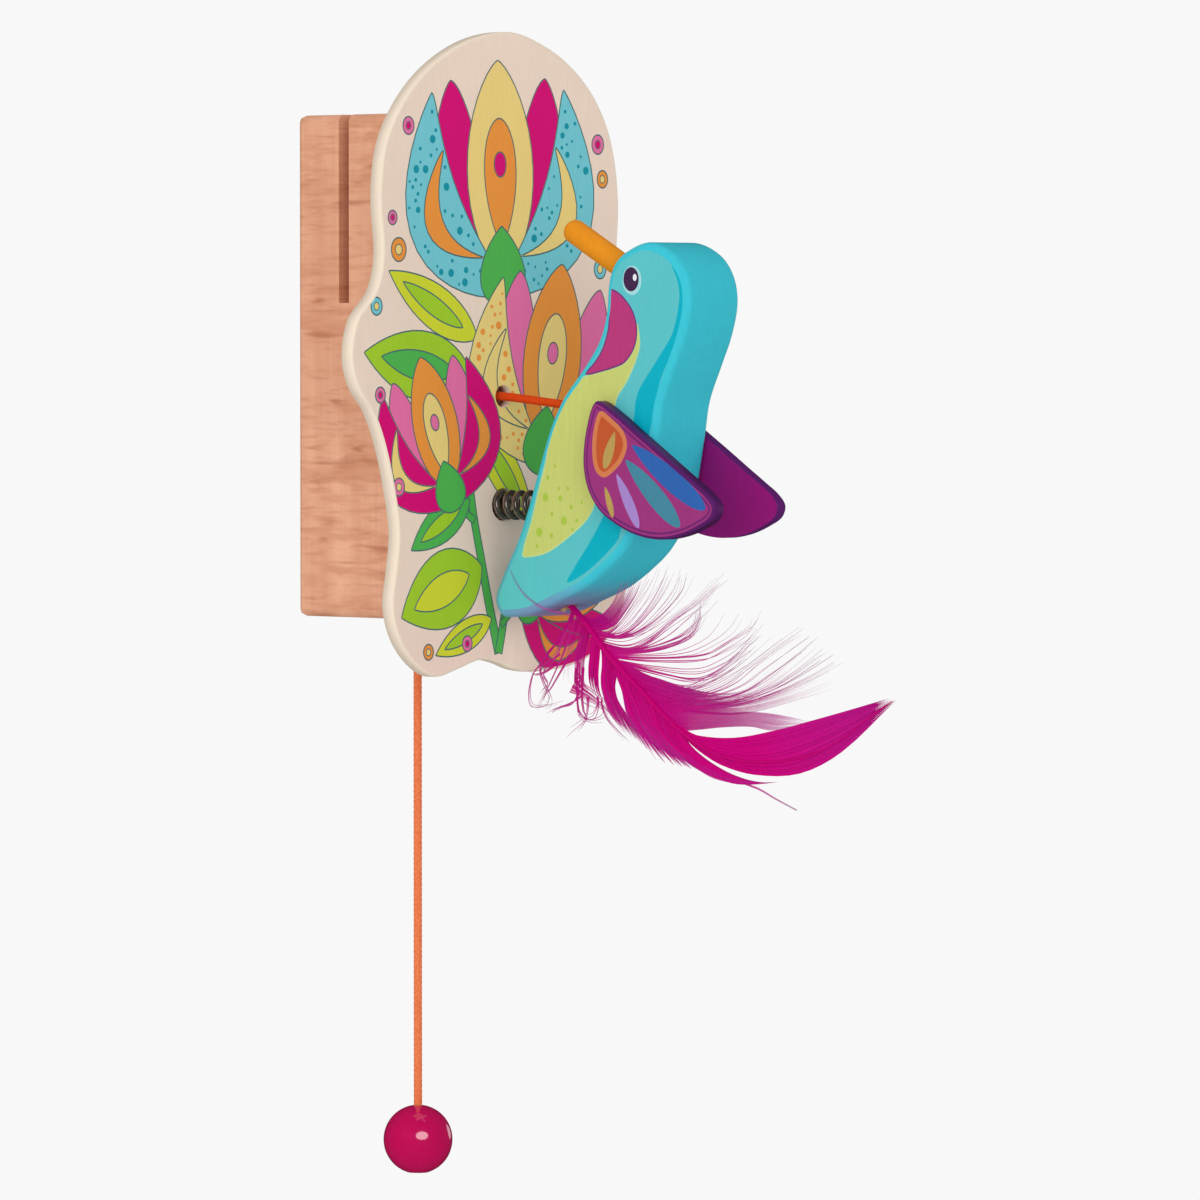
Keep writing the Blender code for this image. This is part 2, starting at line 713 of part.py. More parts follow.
def make_ball(magenta):
    """A ball on the cord, with a bore and a recess below for the knot."""
    top = (0, -CORD_FROM_WALL, ball_top)
    profile = bead(BALL_DIAMETER, BALL_DIAMETER, BALL_STEPS)
    ball = turned("pull_ball", top, (0, 0, -1), profile, magenta, BALL_SIDES)
    recess_top = ball_top - BALL_DIAMETER + KNOT_RECESS
    low = ball_top - BALL_DIAMETER - OVERRUN
    drill(ball, "cut_ball_bore", (0, -CORD_FROM_WALL, ball_top + OVERRUN), (0, -CORD_FROM_WALL, low), ball_bore)
    drill(
        ball,
        "cut_ball_recess",
        (0, -CORD_FROM_WALL, recess_top),
        (0, -CORD_FROM_WALL, low),
        KNOT_DIAMETER + 2 * FIT,
    )
    return ball


def make_knot(orange):
    """The knot that keeps the ball on the cord."""
    top = (0, -CORD_FROM_WALL, knot_top)
    return turned("pull_knot", top, (0, 0, -1), bead(KNOT_DIAMETER, KNOT_HEIGHT), orange, KNOT_SIDES)


def main():
    for old in list(bpy.data.objects):
        bpy.data.objects.remove(old)

    beech = material("beech", (0.70, 0.42, 0.26), 0.6)
    maple = material("maple", (0.80, 0.66, 0.48), 0.5)
    steel = material("dark steel", (0.09, 0.07, 0.06), 0.35, 1.0)
    teal = material("teal paint", (0.07, 0.50, 0.55), 0.45)
    orange = material("orange paint", (0.90, 0.32, 0.03), 0.4)
    purple = material("purple paint", (0.30, 0.03, 0.22), 0.45)
    magenta = material("magenta lacquer", (0.62, 0.0, 0.10), 0.2)
    plume = material("dyed feather", (0.55, 0.0, 0.28), 0.6)
    braid = material("orange braid", (0.85, 0.16, 0.04), 0.8)

    make_block(beech)
    make_plate(maple)
    make_spring(steel)

    body = make_body(teal)
    line = shaft()
    tilt = pivot("bird_pivot", bird_pivot)
    bird = [body, make_beak(body, orange), make_chest_peg(body, maple)]
    bird += make_wings(purple)
    bird += make_quill(body, line, plume, maple)
    bird += make_vanes(line, plume)
    bird += make_down(line, plume)
    cutters = [m.object for m in body.modifiers]
    carry(tilt, *bird, *cutters)

    make_cord_front(braid)
    make_cord_inner(braid)
    bore_top = inner_bottom() - CORD_GIVE
    straight_cord("cord_bore", bore_top, block_bottom - CORD_TAIL, braid)
    swing = pivot("swing_pivot", swing_pivot)
    turn = make_cord_turn(braid)
    hang_top = swing_pivot.z - CORD_DIAMETER / 2 - FIT
    hanging = straight_cord("cord_hanging", hang_top, knot_top + FIT, braid)
    ball = make_ball(magenta)
    knot = make_knot(braid)
    carry(swing, turn, hanging, ball, knot, *[m.object for m in ball.modifiers])


main()
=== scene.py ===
"""The look of the wooden bird door knocker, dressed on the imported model.

Shapes are worked out in millimetres and made in metres. X points right, -Y points away from the
wall and Z points up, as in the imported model. The bird stays in its own plane, where a point is
given by its distance in front of the chest's spring seat and its height above it.
"""

import json
import math
import random

import bmesh
import bpy
import numpy as np
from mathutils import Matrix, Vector
from mathutils.geometry import delaunay_2d_cdt


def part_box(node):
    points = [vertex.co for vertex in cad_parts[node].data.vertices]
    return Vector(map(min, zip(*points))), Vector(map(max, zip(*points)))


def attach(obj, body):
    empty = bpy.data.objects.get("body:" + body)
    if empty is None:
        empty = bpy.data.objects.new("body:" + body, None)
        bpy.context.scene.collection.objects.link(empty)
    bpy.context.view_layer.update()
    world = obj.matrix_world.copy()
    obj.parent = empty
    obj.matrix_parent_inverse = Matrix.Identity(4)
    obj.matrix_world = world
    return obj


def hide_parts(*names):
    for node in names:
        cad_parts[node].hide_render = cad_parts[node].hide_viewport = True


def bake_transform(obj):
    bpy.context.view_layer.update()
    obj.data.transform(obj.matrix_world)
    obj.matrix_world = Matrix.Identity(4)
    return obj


MM = 0.001

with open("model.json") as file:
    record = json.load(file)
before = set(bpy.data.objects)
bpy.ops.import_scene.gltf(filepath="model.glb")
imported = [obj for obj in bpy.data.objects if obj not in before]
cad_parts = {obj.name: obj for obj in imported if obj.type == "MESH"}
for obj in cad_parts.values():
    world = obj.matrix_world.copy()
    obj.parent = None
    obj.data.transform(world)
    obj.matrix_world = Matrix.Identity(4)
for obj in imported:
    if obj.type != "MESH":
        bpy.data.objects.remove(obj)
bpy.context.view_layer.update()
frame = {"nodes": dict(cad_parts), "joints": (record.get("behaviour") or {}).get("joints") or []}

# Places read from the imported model, in millimetres


def node_box(name):
    low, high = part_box(name)
    return low / MM, high / MM


plate_low, plate_high = node_box("face_plate")
body_low, body_high = node_box("bird_body")
wing_low, wing_high = node_box("wing_right")
spring_low, spring_high = node_box("spring")
bore_low, bore_high = node_box("cord_bore")
_, turn_high = node_box("cord_turn")
hang_low, hang_high = node_box("cord_hanging")
joint_place = {j["name"]: Vector(j["pos_m"]) / MM for j in frame["joints"] if "pos_m" in j}

spring_height = (spring_low.z + spring_high.z) / 2
plate_front = plate_low.y
chest = joint_place["bird_tilt"].y * 2 - plate_front
cord_place = bore_low.lerp(bore_high, 0.5)
CORD_HOLE_HEIGHT = -8.6
CORD_HOLE = 6.5
SPRING_SEAT = 9.4


def placed(name, data):
    """An object of this data, in the scene."""
    made = bpy.data.objects.new(name, data)
    bpy.context.scene.collection.objects.link(made)
    return made


def stand_in(piece, node, body=None):
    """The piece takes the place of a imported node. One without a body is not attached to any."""
    if body:
        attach(piece, body)
    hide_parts(node)


# Camera

CAMERA_PLACE = Vector((-1.66909, -1.62158, 0.00835))
CAMERA_TURN = 47.5  # degrees from +Y towards +X
CAMERA_DOWN = 1.883  # degrees below level
LENS = 240
SENSOR = 36
CAMERA_REACH = 200


def make_camera():
    data = bpy.data.cameras.new("camera")
    data.lens = LENS
    data.sensor_width = SENSOR
    data.clip_end = CAMERA_REACH
    camera = placed("camera", data)
    camera.location = CAMERA_PLACE
    camera.rotation_euler = (math.radians(90 - CAMERA_DOWN), 0, math.radians(-CAMERA_TURN))
    bpy.context.scene.camera = camera


# Materials


def paint(colour):
    """A colour given in display values from 0 to 255, as the shader wants it."""
    values = [v / 255 for v in colour]
    return tuple(v / 12.92 if v <= 0.04045 else ((v + 0.055) / 1.055) ** 2.4 for v in values) + (1.0,)


def dimmed(colour, share):
    return tuple(v * share for v in colour[:3]) + (1.0,)


class Tree:
    """A material's nodes, built one call at a time."""

    def __init__(self, name):
        self.material = bpy.data.materials.new(name)
        self.material.use_nodes = True
        self.nodes = self.material.node_tree.nodes
        self.links = self.material.node_tree.links
        self.shader = self.nodes["Principled BSDF"]

    def put(self, kind, values, **settings):
        """A node of this kind. A value that is a socket is linked, and any other is set."""
        node = self.nodes.new("ShaderNode" + kind)
        for key, value in settings.items():
            setattr(node, key, value)
        self.fill(node, values)
        return node

    def fill(self, node, values):
        for key, value in values.items():
            if isinstance(value, bpy.types.NodeSocket):
                self.links.new(value, node.inputs[key])
            else:
                node.inputs[key].default_value = value

    def finish(self, **values):
        self.fill(self.shader, {key.replace("_", " "): value for key, value in values.items()})
        return self.material

    def coloured(self, colour, roughness, gloss, grain, strength, depth):
        """The finished material, on which the grain also stands out a little."""
        bump = self.put("Bump", {"Height": grain, "Strength": strength, "Distance": depth})
        return self.finish(
            Base_Color=colour, Roughness=roughness, Specular_IOR_Level=gloss, Normal=bump.outputs["Normal"]
        )

    def place(self, scale=(1, 1, 1), turn=(0, 0, 0)):
        """The object's own coordinates, stretched and turned."""
        coordinates = self.put("TexCoord", {}).outputs["Object"]
        values = {"Vector": coordinates, "Scale": scale, "Rotation": turn}
        return self.put("Mapping", values).outputs["Vector"]

    def noise(self, scale, detail=3.0, roughness=0.55, distortion=0.0, turn=(0, 0, 0)):
        """Clouds, with scale spots to the metre along each axis."""
        values = {"Vector": self.place(scale, turn), "Scale": 1.0, "Detail": detail}
        values.update({"Roughness": roughness, "Distortion": distortion})
        return self.put("TexNoise", values).outputs["Fac"]

    def ramp(self, value, *stops):
        """Colours or greys at places from 0 to 1."""
        node = self.put("ValToRGB", {"Fac": value})
        line = node.color_ramp
        for i, (place, colour) in enumerate(stops):
            stop = line.elements[i] if i < 2 else line.elements.new(place)
            stop.position = place
            stop.color = colour if isinstance(colour, tuple) else (colour, colour, colour, 1.0)
        return node.outputs["Color"]

    def mix(self, share, first, second, blend="MIX"):
        values = {0: share, 6: first, 7: second}
        return self.put("Mix", values, data_type="RGBA", blend_type=blend).outputs[2]

    def over(self, ground, colour, value, start, end, most):
        """The ground under a colour, from none of it where the value is start to most where it is end."""
        return self.mix(self.ramp(value, (start, 0.0), (end, most)), ground, colour)

    def math(self, operation, first, second):
        return self.put("Math", {0: first, 1: second}, operation=operation).outputs[0]


def beech(name, pale, dark, fleck):
    """Beech with fine upright fibres, faint bands across them and a few dark marks."""
    pale, dark, fleck = paint(pale), paint(dark), paint(fleck)
    tree = Tree(name)
    lean = (math.radians(4), math.radians(-6), 0)
    fibres = tree.noise((900, 900, 22), 4.0, 0.6)
    ground = tree.over(pale, dark, tree.noise((70, 70, 9)), 0.35, 0.65, 0.7)
    ground = tree.over(ground, dark, fibres, 0.45, 0.8, 0.4)
    ground = tree.over(ground, dark, tree.noise((42, 42, 260), 2.0, 0.5, 0.6, lean), 0.44, 0.7, 0.9)
    ground = tree.over(ground, fleck, tree.noise((110, 110, 900), 2.0, 0.5, 0.4, lean), 0.52, 0.8, 0.4)
    ground = tree.over(ground, fleck, tree.noise((52, 52, 300), 1.0, 0.4, 0.5, lean), 0.64, 0.8, 0.75)
    return tree.coloured(ground, 0.62, 0.2, fibres, 0.08, 0.0003)


def bare_wood(name):
    """Pale close wood without marks."""
    tree = Tree(name)
    grain = tree.noise((420, 420, 420), 4.0, 0.6)
    ground = tree.over(paint((206, 170, 128)), paint((176, 134, 92)), grain, 0.35, 0.7, 1.0)
    return tree.coloured(ground, 0.6, 0.2, grain, 0.1, 0.0003)


def ink(name, colour, roughness, grain, gloss=0.12, painted_bounce=None):
    """A print or paint that lets some of the wood's grain show. The last argument, if given, is (colour,
    place, reach): a painted reflection of a nearby colour, strongest near place and gone at reach.
    """
    tree = Tree(name)
    colour = paint(colour)
    fibres = tree.noise((900, 900, 90), 4.0, 0.6)
    deep = dimmed(colour, 1 - 2.2 * grain)
    ground = tree.over(colour, deep, fibres, 0.35, 0.75, 0.7)
    ground = tree.over(ground, deep, tree.noise((28, 28, 28), 2.0), 0.35, 0.65, 0.45)
    # Painted reflection: the nearby colour is mixed in round the place, as if its light bounced here.
    if painted_bounce:
        bounce_colour, middle, reach = painted_bounce
        away = tree.put("VectorMath", {0: tree.place(), 1: middle * MM}, operation="DISTANCE")
        share = tree.math("DIVIDE", away.outputs["Value"], reach * MM)
        ground = tree.mix(tree.ramp(share, (0.2, 0.75), (1.0, 0.0)), ground, paint(bounce_colour))
    return tree.coloured(ground, roughness, gloss, fibres, 0.03, 0.0002)


def lacquer(name, colour):
    tree = Tree(name)
    colour = paint(colour)
    ground = tree.mix(tree.noise((60, 60, 60), 2.0), colour, dimmed(colour, 0.9))
    tree.finish(Coat_Weight=1.0, Coat_IOR=2.2, Coat_Roughness=0.09)
    return tree.coloured(ground, 0.4, 0.04, tree.noise((160, 160, 160), 2.0), 0.04, 0.0004)


def wire(name, colour):
    tree = Tree(name)
    colour = paint(colour)
    ground = tree.over(colour, dimmed(colour, 0.5), tree.noise((500, 500, 500)), 0.4, 0.7, 1.0)
    return tree.finish(Base_Color=ground, Metallic=0.8, Roughness=0.17)


def yarn(name, colour, dark):
    tree = Tree(name)
    threads = tree.noise((2600, 2600, 900))
    ground = tree.over(paint(colour), paint(dark), threads, 0.3, 0.75, 1.0)
    return tree.coloured(ground, 0.75, 0.1, threads, 0.3, 0.0002)


# Curves and outlines


def smooth_curve(points, steps, closed=False):
    """A curve through the points, with the given number of steps between two of them."""
    points = [Vector(p) for p in points]
    count = len(points)

    def point(i):
        return points[i % count] if closed else points[max(0, min(i, count - 1))]

    def slope(i):
        before, after = point(i - 1), point(i + 1)
        return (after - before) / ((point(i) - before).length + (after - point(i)).length)

    curve = []
    for i in range(count if closed else count - 1):
        a, b = point(i), point(i + 1)
        reach = (b - a).length
        for k in range(steps):
            t = k / steps
            curve.append(
                a * (1 + 2 * t) * (1 - t) ** 2
                + slope(i) * reach * t * (1 - t) ** 2
                + b * t * t * (3 - 2 * t)
                - slope(i + 1) * reach * t * t * (1 - t)
            )
    return curve if closed else curve + [points[-1]]


def run_at(line, i):
    """The way a line of points runs at its point i."""
    return line[min(i + 1, len(line) - 1)] - line[max(i - 1, 0)]


def beside(run):
    """The unit vector to the left of a run in a plane."""
    return Vector((-run.y, run.x)).normalized()


def value_at(values, share):
    """The value at this share of the way through evenly spread values."""
    place = share * (len(values) - 1)
    k = min(int(place), len(values) - 2)
    return values[k] + (values[k + 1] - values[k]) * (place - k)


def corners_of(points):
    """The low and the high corner of the box round points in a plane."""
    return [[pick(p[k] for p in points) for k in range(2)] for pick in (min, max)]


def fitted(points, low, size):
    """A closed smooth outline through the points, whose box has this low corner and this size."""
    lows, highs = corners_of(points)
    moved = [
        [low[k] + (p[k] - lows[k]) * size[k] / (highs[k] - lows[k]) for k in range(2)] for p in points
    ]
    return smooth_curve(moved, OUTLINE_STEPS, True)


def outward(outline):
    """The direction away from the shape at each point of its closed outline."""
    count = len(outline)
    area = sum(outline[i - 1].x * outline[i].y - outline[i].x * outline[i - 1].y for i in range(count))
    side = -1 if area > 0 else 1
    return [beside(outline[(i + 1) % count] - outline[i - 1]) * side for i in range(count)]


def grown(outline, amount):
    return [p + n * amount for p, n in zip(outline, outward(outline))]


def inside(outline, places):
    """For each place, whether it lies in the closed outline."""
    x, y = places[:, 0], places[:, 1]
    found = np.zeros(len(places), bool)
    for a, b in zip(outline, outline[1:] + outline[:1]):
        if a.y != b.y:
            crosses = (y < a.y) != (y < b.y)
            found ^= crosses & (x < a.x + (b.x - a.x) * (y - a.y) / (b.y - a.y))
    return found


def angles(sides):
    return [2 * math.pi * i / sides for i in range(sides)]


def oval(centre, wide, tall, sides=28):
    x, y = centre
    return [Vector((x + math.cos(a) * wide / 2, y + math.sin(a) * tall / 2)) for a in angles(sides)]


def circle(centre, direction, radius, sides):
    """A ring of points round a centre in space."""
    turn = direction.to_track_quat("Z", "Y")
    return [centre + turn @ Vector((math.cos(a), math.sin(a), 0)) * radius for a in angles(sides)]


# Meshes

SHARP_ANGLE = math.radians(50)
BORE_SIDES = 40
EDGE_STEPS = 6
RIM = 1  # the number of the material on a slab's rim
SAME_POINT = 1e-5  # closer points of a print are one


def piece_from(name, bm, materials, smooth=True):
    """An object from a closed bmesh whose points are in millimetres."""
    bmesh.ops.recalc_face_normals(bm, faces=bm.faces)
    bmesh.ops.scale(bm, vec=(MM, MM, MM), verts=bm.verts)
    mesh = bpy.data.meshes.new(name)
    bm.to_mesh(mesh)
    bm.free()
    for material in materials:
        mesh.materials.append(material)
    if smooth:
        mesh.shade_smooth()
    return placed(name, mesh)


def band(bm, low, high, number=0):
    """Faces between two rings of vertices, with the material of this number."""
    for i in range(len(low)):
        j = (i + 1) % len(low)
        face = bm.faces.new((low[i], low[j], high[j], high[i]))
        face.material_index = number
        face.smooth = True


def skin(bm, rings):
    """Vertices at rings of points, and the faces between them."""
    made = [[bm.verts.new(p) for p in ring] for ring in rings]
    for low, high in zip(made, made[1:]):
        band(bm, low, high)
    return made


def bar(name, rings, materials):
    """A solid with flat ends whose side goes through rings of points."""
    bm = bmesh.new()
    made = skin(bm, rings)
    bm.faces.new(made[0][::-1])
    bm.faces.new(made[-1])
    return piece_from(name, bm, materials)


def bore(name, start, direction, length, diameter, lining):
    """A cylinder that cuts a hole, whose wall gets the lining."""
    ends = [circle(start + direction * s, direction, diameter / 2, BORE_SIDES) for s in (0, length)]
    cutter = bar(name, ends, [lining])
    cutter.data.set_sharp_from_angle(angle=SHARP_ANGLE)
    return cutter


def bored(piece, cutters):
    """The piece without what the closed cutters cover. Their material lines the holes."""
    for cutter in cutters:
        step = piece.modifiers.new(cutter.name, "BOOLEAN")
        step.operation = "DIFFERENCE"
        step.solver = "EXACT"
        step.material_mode = "TRANSFER"
        step.object = cutter
    seen = piece.evaluated_get(bpy.context.evaluated_depsgraph_get())
    mesh = bpy.data.meshes.new_from_object(seen)
    piece.modifiers.clear()
    piece.data = mesh
    for cutter in cutters:
        bpy.data.objects.remove(cutter)


def flat_face(bm, outer, holes, prints, place, depth, upward):
    """A flat face between closed rings that are already made. Each is (points, vertices).

    prints are (outline, material number), the last on top. The rest has material 0.
    """
    points, edges = [], []
    for outline in [outer[0]] + [h[0] for h in holes] + [p[0] for p in prints]:
        first, count = len(points), len(outline)
        points += outline
        edges += [(first + i, first + (i + 1) % count) for i in range(count)]
    places, _, faces, origins, _, _ = delaunay_2d_cdt(points, edges, [], 0, SAME_POINT)
    known = outer[1] + [v for h in holes for v in h[1]]
    corners = []
    for spot, origin in zip(places, origins):
        ready = [known[i] for i in origin if i < len(known)]
        corners.append(ready[0] if ready else bm.verts.new(place(spot.x, spot.y, depth)))
    middles = np.array([[sum(places[i][k] for i in face) / len(face) for k in range(2)] for face in faces])
    keep = inside(outer[0], middles)
    for hole in holes:
        keep &= ~inside(hole[0], middles)
    slots = np.zeros(len(faces), int)
    for outline, number in prints:
        slots[inside(outline, middles)] = number
    for face, kept, number in zip(faces, keep, slots):
        if kept:
            made = bm.faces.new([corners[i] for i in (face if upward else face[::-1])])
            made.material_index = int(number)
            made.smooth = False
    for vertex in corners:
        if vertex.is_valid and not vertex.link_faces:
            bm.verts.remove(vertex)


def rounded(depth, edge, inwards):
    """The depths and insets of rings from a flat face round its edge."""
    if not edge:
        return [(depth, 0.0)]
    turns = [math.pi / 2 * k / EDGE_STEPS for k in range(EDGE_STEPS, -1, -1)]
    return [(depth + inwards * edge * (1 - math.sin(a)), edge * (1 - math.cos(a))) for a in turns]


def printed_slab(name, outline, place, depths, edges, prints, materials, holes=()):
    """A flat piece with rounded edges. Its first two materials are for its plain faces and its rim.

    place gives the space point of an outline point and a depth. depths, edges and prints each hold
    two, for the low face and the high one. holes are (centre, diameter) through both faces.
    """
    bm = bmesh.new()

    def raised(ring, depth):
        return [bm.verts.new(place(p.x, p.y, depth)) for p in ring]

    levels = rounded(depths[0], edges[0], 1) + rounded(depths[1], edges[1], -1)[::-1]
    insets = [grown(outline, -inset) for _, inset in levels]
    rings = [raised(ring, depth) for ring, (depth, _) in zip(insets, levels)]
    for low, high in zip(rings, rings[1:]):
        band(bm, low, high, RIM)
    bores = [[], []]
    for centre, diameter in holes:
        ring = oval(centre, diameter, diameter, BORE_SIDES)
        low, high = [raised(ring, depth) for depth in depths]
        band(bm, high, low, RIM)
        bores[0].append((ring, low))
        bores[1].append((ring, high))
    for k in (0, 1):
        flat_face(bm, (insets[-k], rings[-k]), bores[k], prints[k], place, depths[k], bool(k))
    return piece_from(name, bm, materials, smooth=False)


# Print shapes, in the flat face's own millimetres

LEAF_STEPS = 18


def leaf(base, tip, width, start, end, bend=0.0):
    """A closed petal or leaf. start and end sharpen its two ends: 0.5 is round and 1 is pointed."""
    base, tip = Vector(base), Vector(tip)
    run = tip - base
    peak = start / (start + end)
    top = peak**start * (1 - peak) ** end

    def at(t, side):
        half = width / 2 * (t**start) * ((1 - t) ** end) / top
        return base + run * t + beside(run) * (bend * 4 * t * (1 - t) + side * half)

    shares = [(1 - math.cos(math.pi * i / LEAF_STEPS)) / 2 for i in range(LEAF_STEPS + 1)]
    return [at(t, 1) for t in shares] + [at(t, -1) for t in shares[-2:0:-1]]


def strip(points, widths):
    """A closed band along a smooth curve, with its widths spread evenly along it."""
    curve = smooth_curve(points, OUTLINE_STEPS)
    left, right = [], []
    for i, p in enumerate(curve):
        half = beside(run_at(curve, i)) * value_at(widths, i / (len(curve) - 1)) / 2
        left.append(p + half)
        right.append(p - half)
    return left + right[::-1]


class Print:
    """Coloured shapes on a flat face. The names of its inks are in the order of its materials."""

    def __init__(self, inks):
        self.names = list(inks)
        self.shapes = []

    def fill(self, outline, colour):
        self.shapes.append((outline, self.names.index(colour)))

    def draw(self, outline, colour, line=0.42):
        """The shape with a thin line round it."""
        self.fill(grown(outline, line / 2), "line")
        self.fill(grown(outline, -line / 2), colour)


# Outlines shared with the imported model

PLATE_OUTLINE = [
    (4, 95.5), (18, 91.9), (29.5, 85.8), (39, 77), (45.5, 65.3), (48.5, 50), (48.1, 35.7), (46, 22),
    (45, 8), (47, -6), (50.5, -20), (52.8, -36), (53, -53), (51.1, -68.3), (44, -79.5), (32, -85.8),
    (14, -87.9), (5.7, -87), (-1.5, -84.8), (-8.5, -83.8), (-17, -86), (-27, -88.1), (-35, -84.3),
    (-41.5, -77), (-44.4, -67.9), (-43, -57.5), (-41.8, -47.3), (-43.8, -35.5), (-47.5, -22.5),
    (-52, -13), (-58, -5.5), (-60.4, 3), (-58, 13.2), (-50.5, 21.5), (-47.8, 31.5), (-49, 48),
    (-46.7, 63), (-39.5, 75), (-28.5, 85.1), (-13, 92.8),
]
BIRD_OUTLINE = [
    (46.3, 74.3), (38.8, 72.5), (33.4, 68.9), (30.8, 63), (29.9, 54.6), (27.3, 47.1), (21.2, 39.1),
    (13.7, 31), (8.7, 22.8), (4.7, 12.7), (0, 0), (-3.9, -9.1), (-10.1, -19.9), (-12.9, -26.6),
    (-10.7, -31.2), (-5.7, -31.6), (1.3, -30.6), (11.5, -26.9), (21.6, -22.9), (31.6, -16.6),
    (37.5, -11.5), (42.9, -3.8), (46.4, 5.3), (49.7, 20.9), (51.4, 29.8), (55.6, 39.2), (59.7, 48.3),
    (61.8, 57.5), (60.2, 65.2), (55.2, 71),
]
WING_OUTLINE = [
    (30.5, 30), (37.2, 26.6), (45.2, 21.4), (53.2, 16.3), (61, 11.2), (67.2, 7.2), (71.8, 4.1), (74.4, 0.9),
    (73.3, -2.4), (69, -4.9), (62.5, -7.3), (54.5, -8.5), (46, -7.6), (38, -4.8), (31.5, -0.9), (27.2, 4.6),
    (25.3, 11), (25.5, 18), (27, 24.5), (28.6, 28.5),
]
OUTLINE_STEPS = 6
PLATE_EDGE = 0.8
BIRD_EDGE = 2.2
WING_EDGE = 0.8


def on_bird(front, up, side=0.0):
    return Vector((side, chest - front, spring_height + up))


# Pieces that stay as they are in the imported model

SQUARE = 0.9999  # the normal of a face that is square to an axis has more than this along it
SAME_PLACE = 0.00001  # metres


def repaint(name, finish):
    """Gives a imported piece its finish, and soft shading on its rounded faces alone."""
    node = frame["nodes"][name]
    node.data.materials.clear()
    node.data.materials.append(finish)
    for face in node.data.polygons:
        face.use_smooth = max(abs(v) for v in face.normal) < SQUARE
    weld = node.modifiers.new("weld", "WELD")
    weld.merge_threshold = SAME_PLACE


def dress_block():
    repaint("sound_block", beech("beech", (242, 183, 149), (218, 152, 118), (182, 104, 72)))


# The face plate and its print

PLATE_INKS = {
    "cream": (254, 229, 211),
    "rim": (250, 232, 210),
    "line": (80, 116, 116),
    "turquoise": (124, 212, 224),
    "deep_turquoise": (22, 156, 176),
    "yellow": (252, 222, 136),
    "orange": (252, 158, 66),
    "magenta": (228, 2, 124),
    "pink": (246, 120, 176),
    "lime": (172, 216, 48),
    "yellow_green": (222, 228, 54),
    "green": (86, 192, 86),
}
DOT_SIZES = (0.9, 1.2, 1.2, 1.9, 2.4)
DOT_COUNT = 40
DOT_TRIES = 30  # for each dot
DOT_SIDES = 12
DOT_GAP = 0.7
GAP_TO_SHAPES = 0.9


def dots(outline, shapes_on_top, rng):
    """Round dots scattered in an outline, clear of its edge, of each other and of the shapes on top."""
    lows, highs = corners_of(outline)
    made = []
    for _ in range(DOT_COUNT * DOT_TRIES):
        if len(made) == DOT_COUNT:
            break
        spot = np.array([[rng.uniform(lows[k], highs[k]) for k in range(2)]])
        radius = rng.choice(DOT_SIZES) / 2
        if not inside(grown(outline, -radius - DOT_GAP), spot)[0]:
            continue
        if any(inside(grown(shape, radius + GAP_TO_SHAPES), spot)[0] for shape in shapes_on_top):
            continue
        if any((Vector(spot[0]) - c).length < radius + r + DOT_GAP for c, r in made):
            continue
        made.append((Vector(spot[0]), radius))
    return [oval(c, 2 * r, 2 * r, DOT_SIDES) for c, r in made]


def tulip(art, rng, centre, lean, size, outer, outer_dots, middle, core, inner):
    """A tulip seen from the side: two outer petals over three inner ones, measured in shares of its size."""
    c, s = math.cos(math.radians(lean)), math.sin(math.radians(lean))

    def at(outline):
        large = [p * size for p in outline]
        return [Vector(centre) + Vector((p.x * c - p.y * s, p.x * s + p.y * c)) for p in large]

    for side in (-1, 1):
        art.draw(at(leaf((-0.02, -0.42), (side * 0.36, 0.56), 0.34, 0.8, 0.7, -side * 0.1)), inner)
    tall = leaf((0, -0.46), (0, 0.66), 0.5, 0.7, 0.75)
    art.draw(at(tall), middle)
    art.draw(at(leaf((0, -0.3), (0, 0.36), 0.24, 0.8, 0.55)), core)
    art.draw(at(oval((0, 0.12), 0.09, 0.13)), inner)
    for side in (-1, 1):
        petal = at(leaf((side * 0.02, -0.56), (side * 0.5, 0.5), 0.42, 0.62, 0.8, -side * 0.26))
        art.draw(petal, outer)
        rib = at(leaf((side * 0.14, -0.36), (side * 0.43, 0.2), 0.13, 0.8, 0.6, -side * 0.24))
        art.draw(rib, core if side < 0 else middle)
        if outer_dots:
            for spot in dots(petal, [rib, tall], rng):
                art.fill(spot, outer_dots)
    art.draw(at(leaf((0, -0.62), (0, -0.2), 0.34, 0.5, 0.9)), "green")


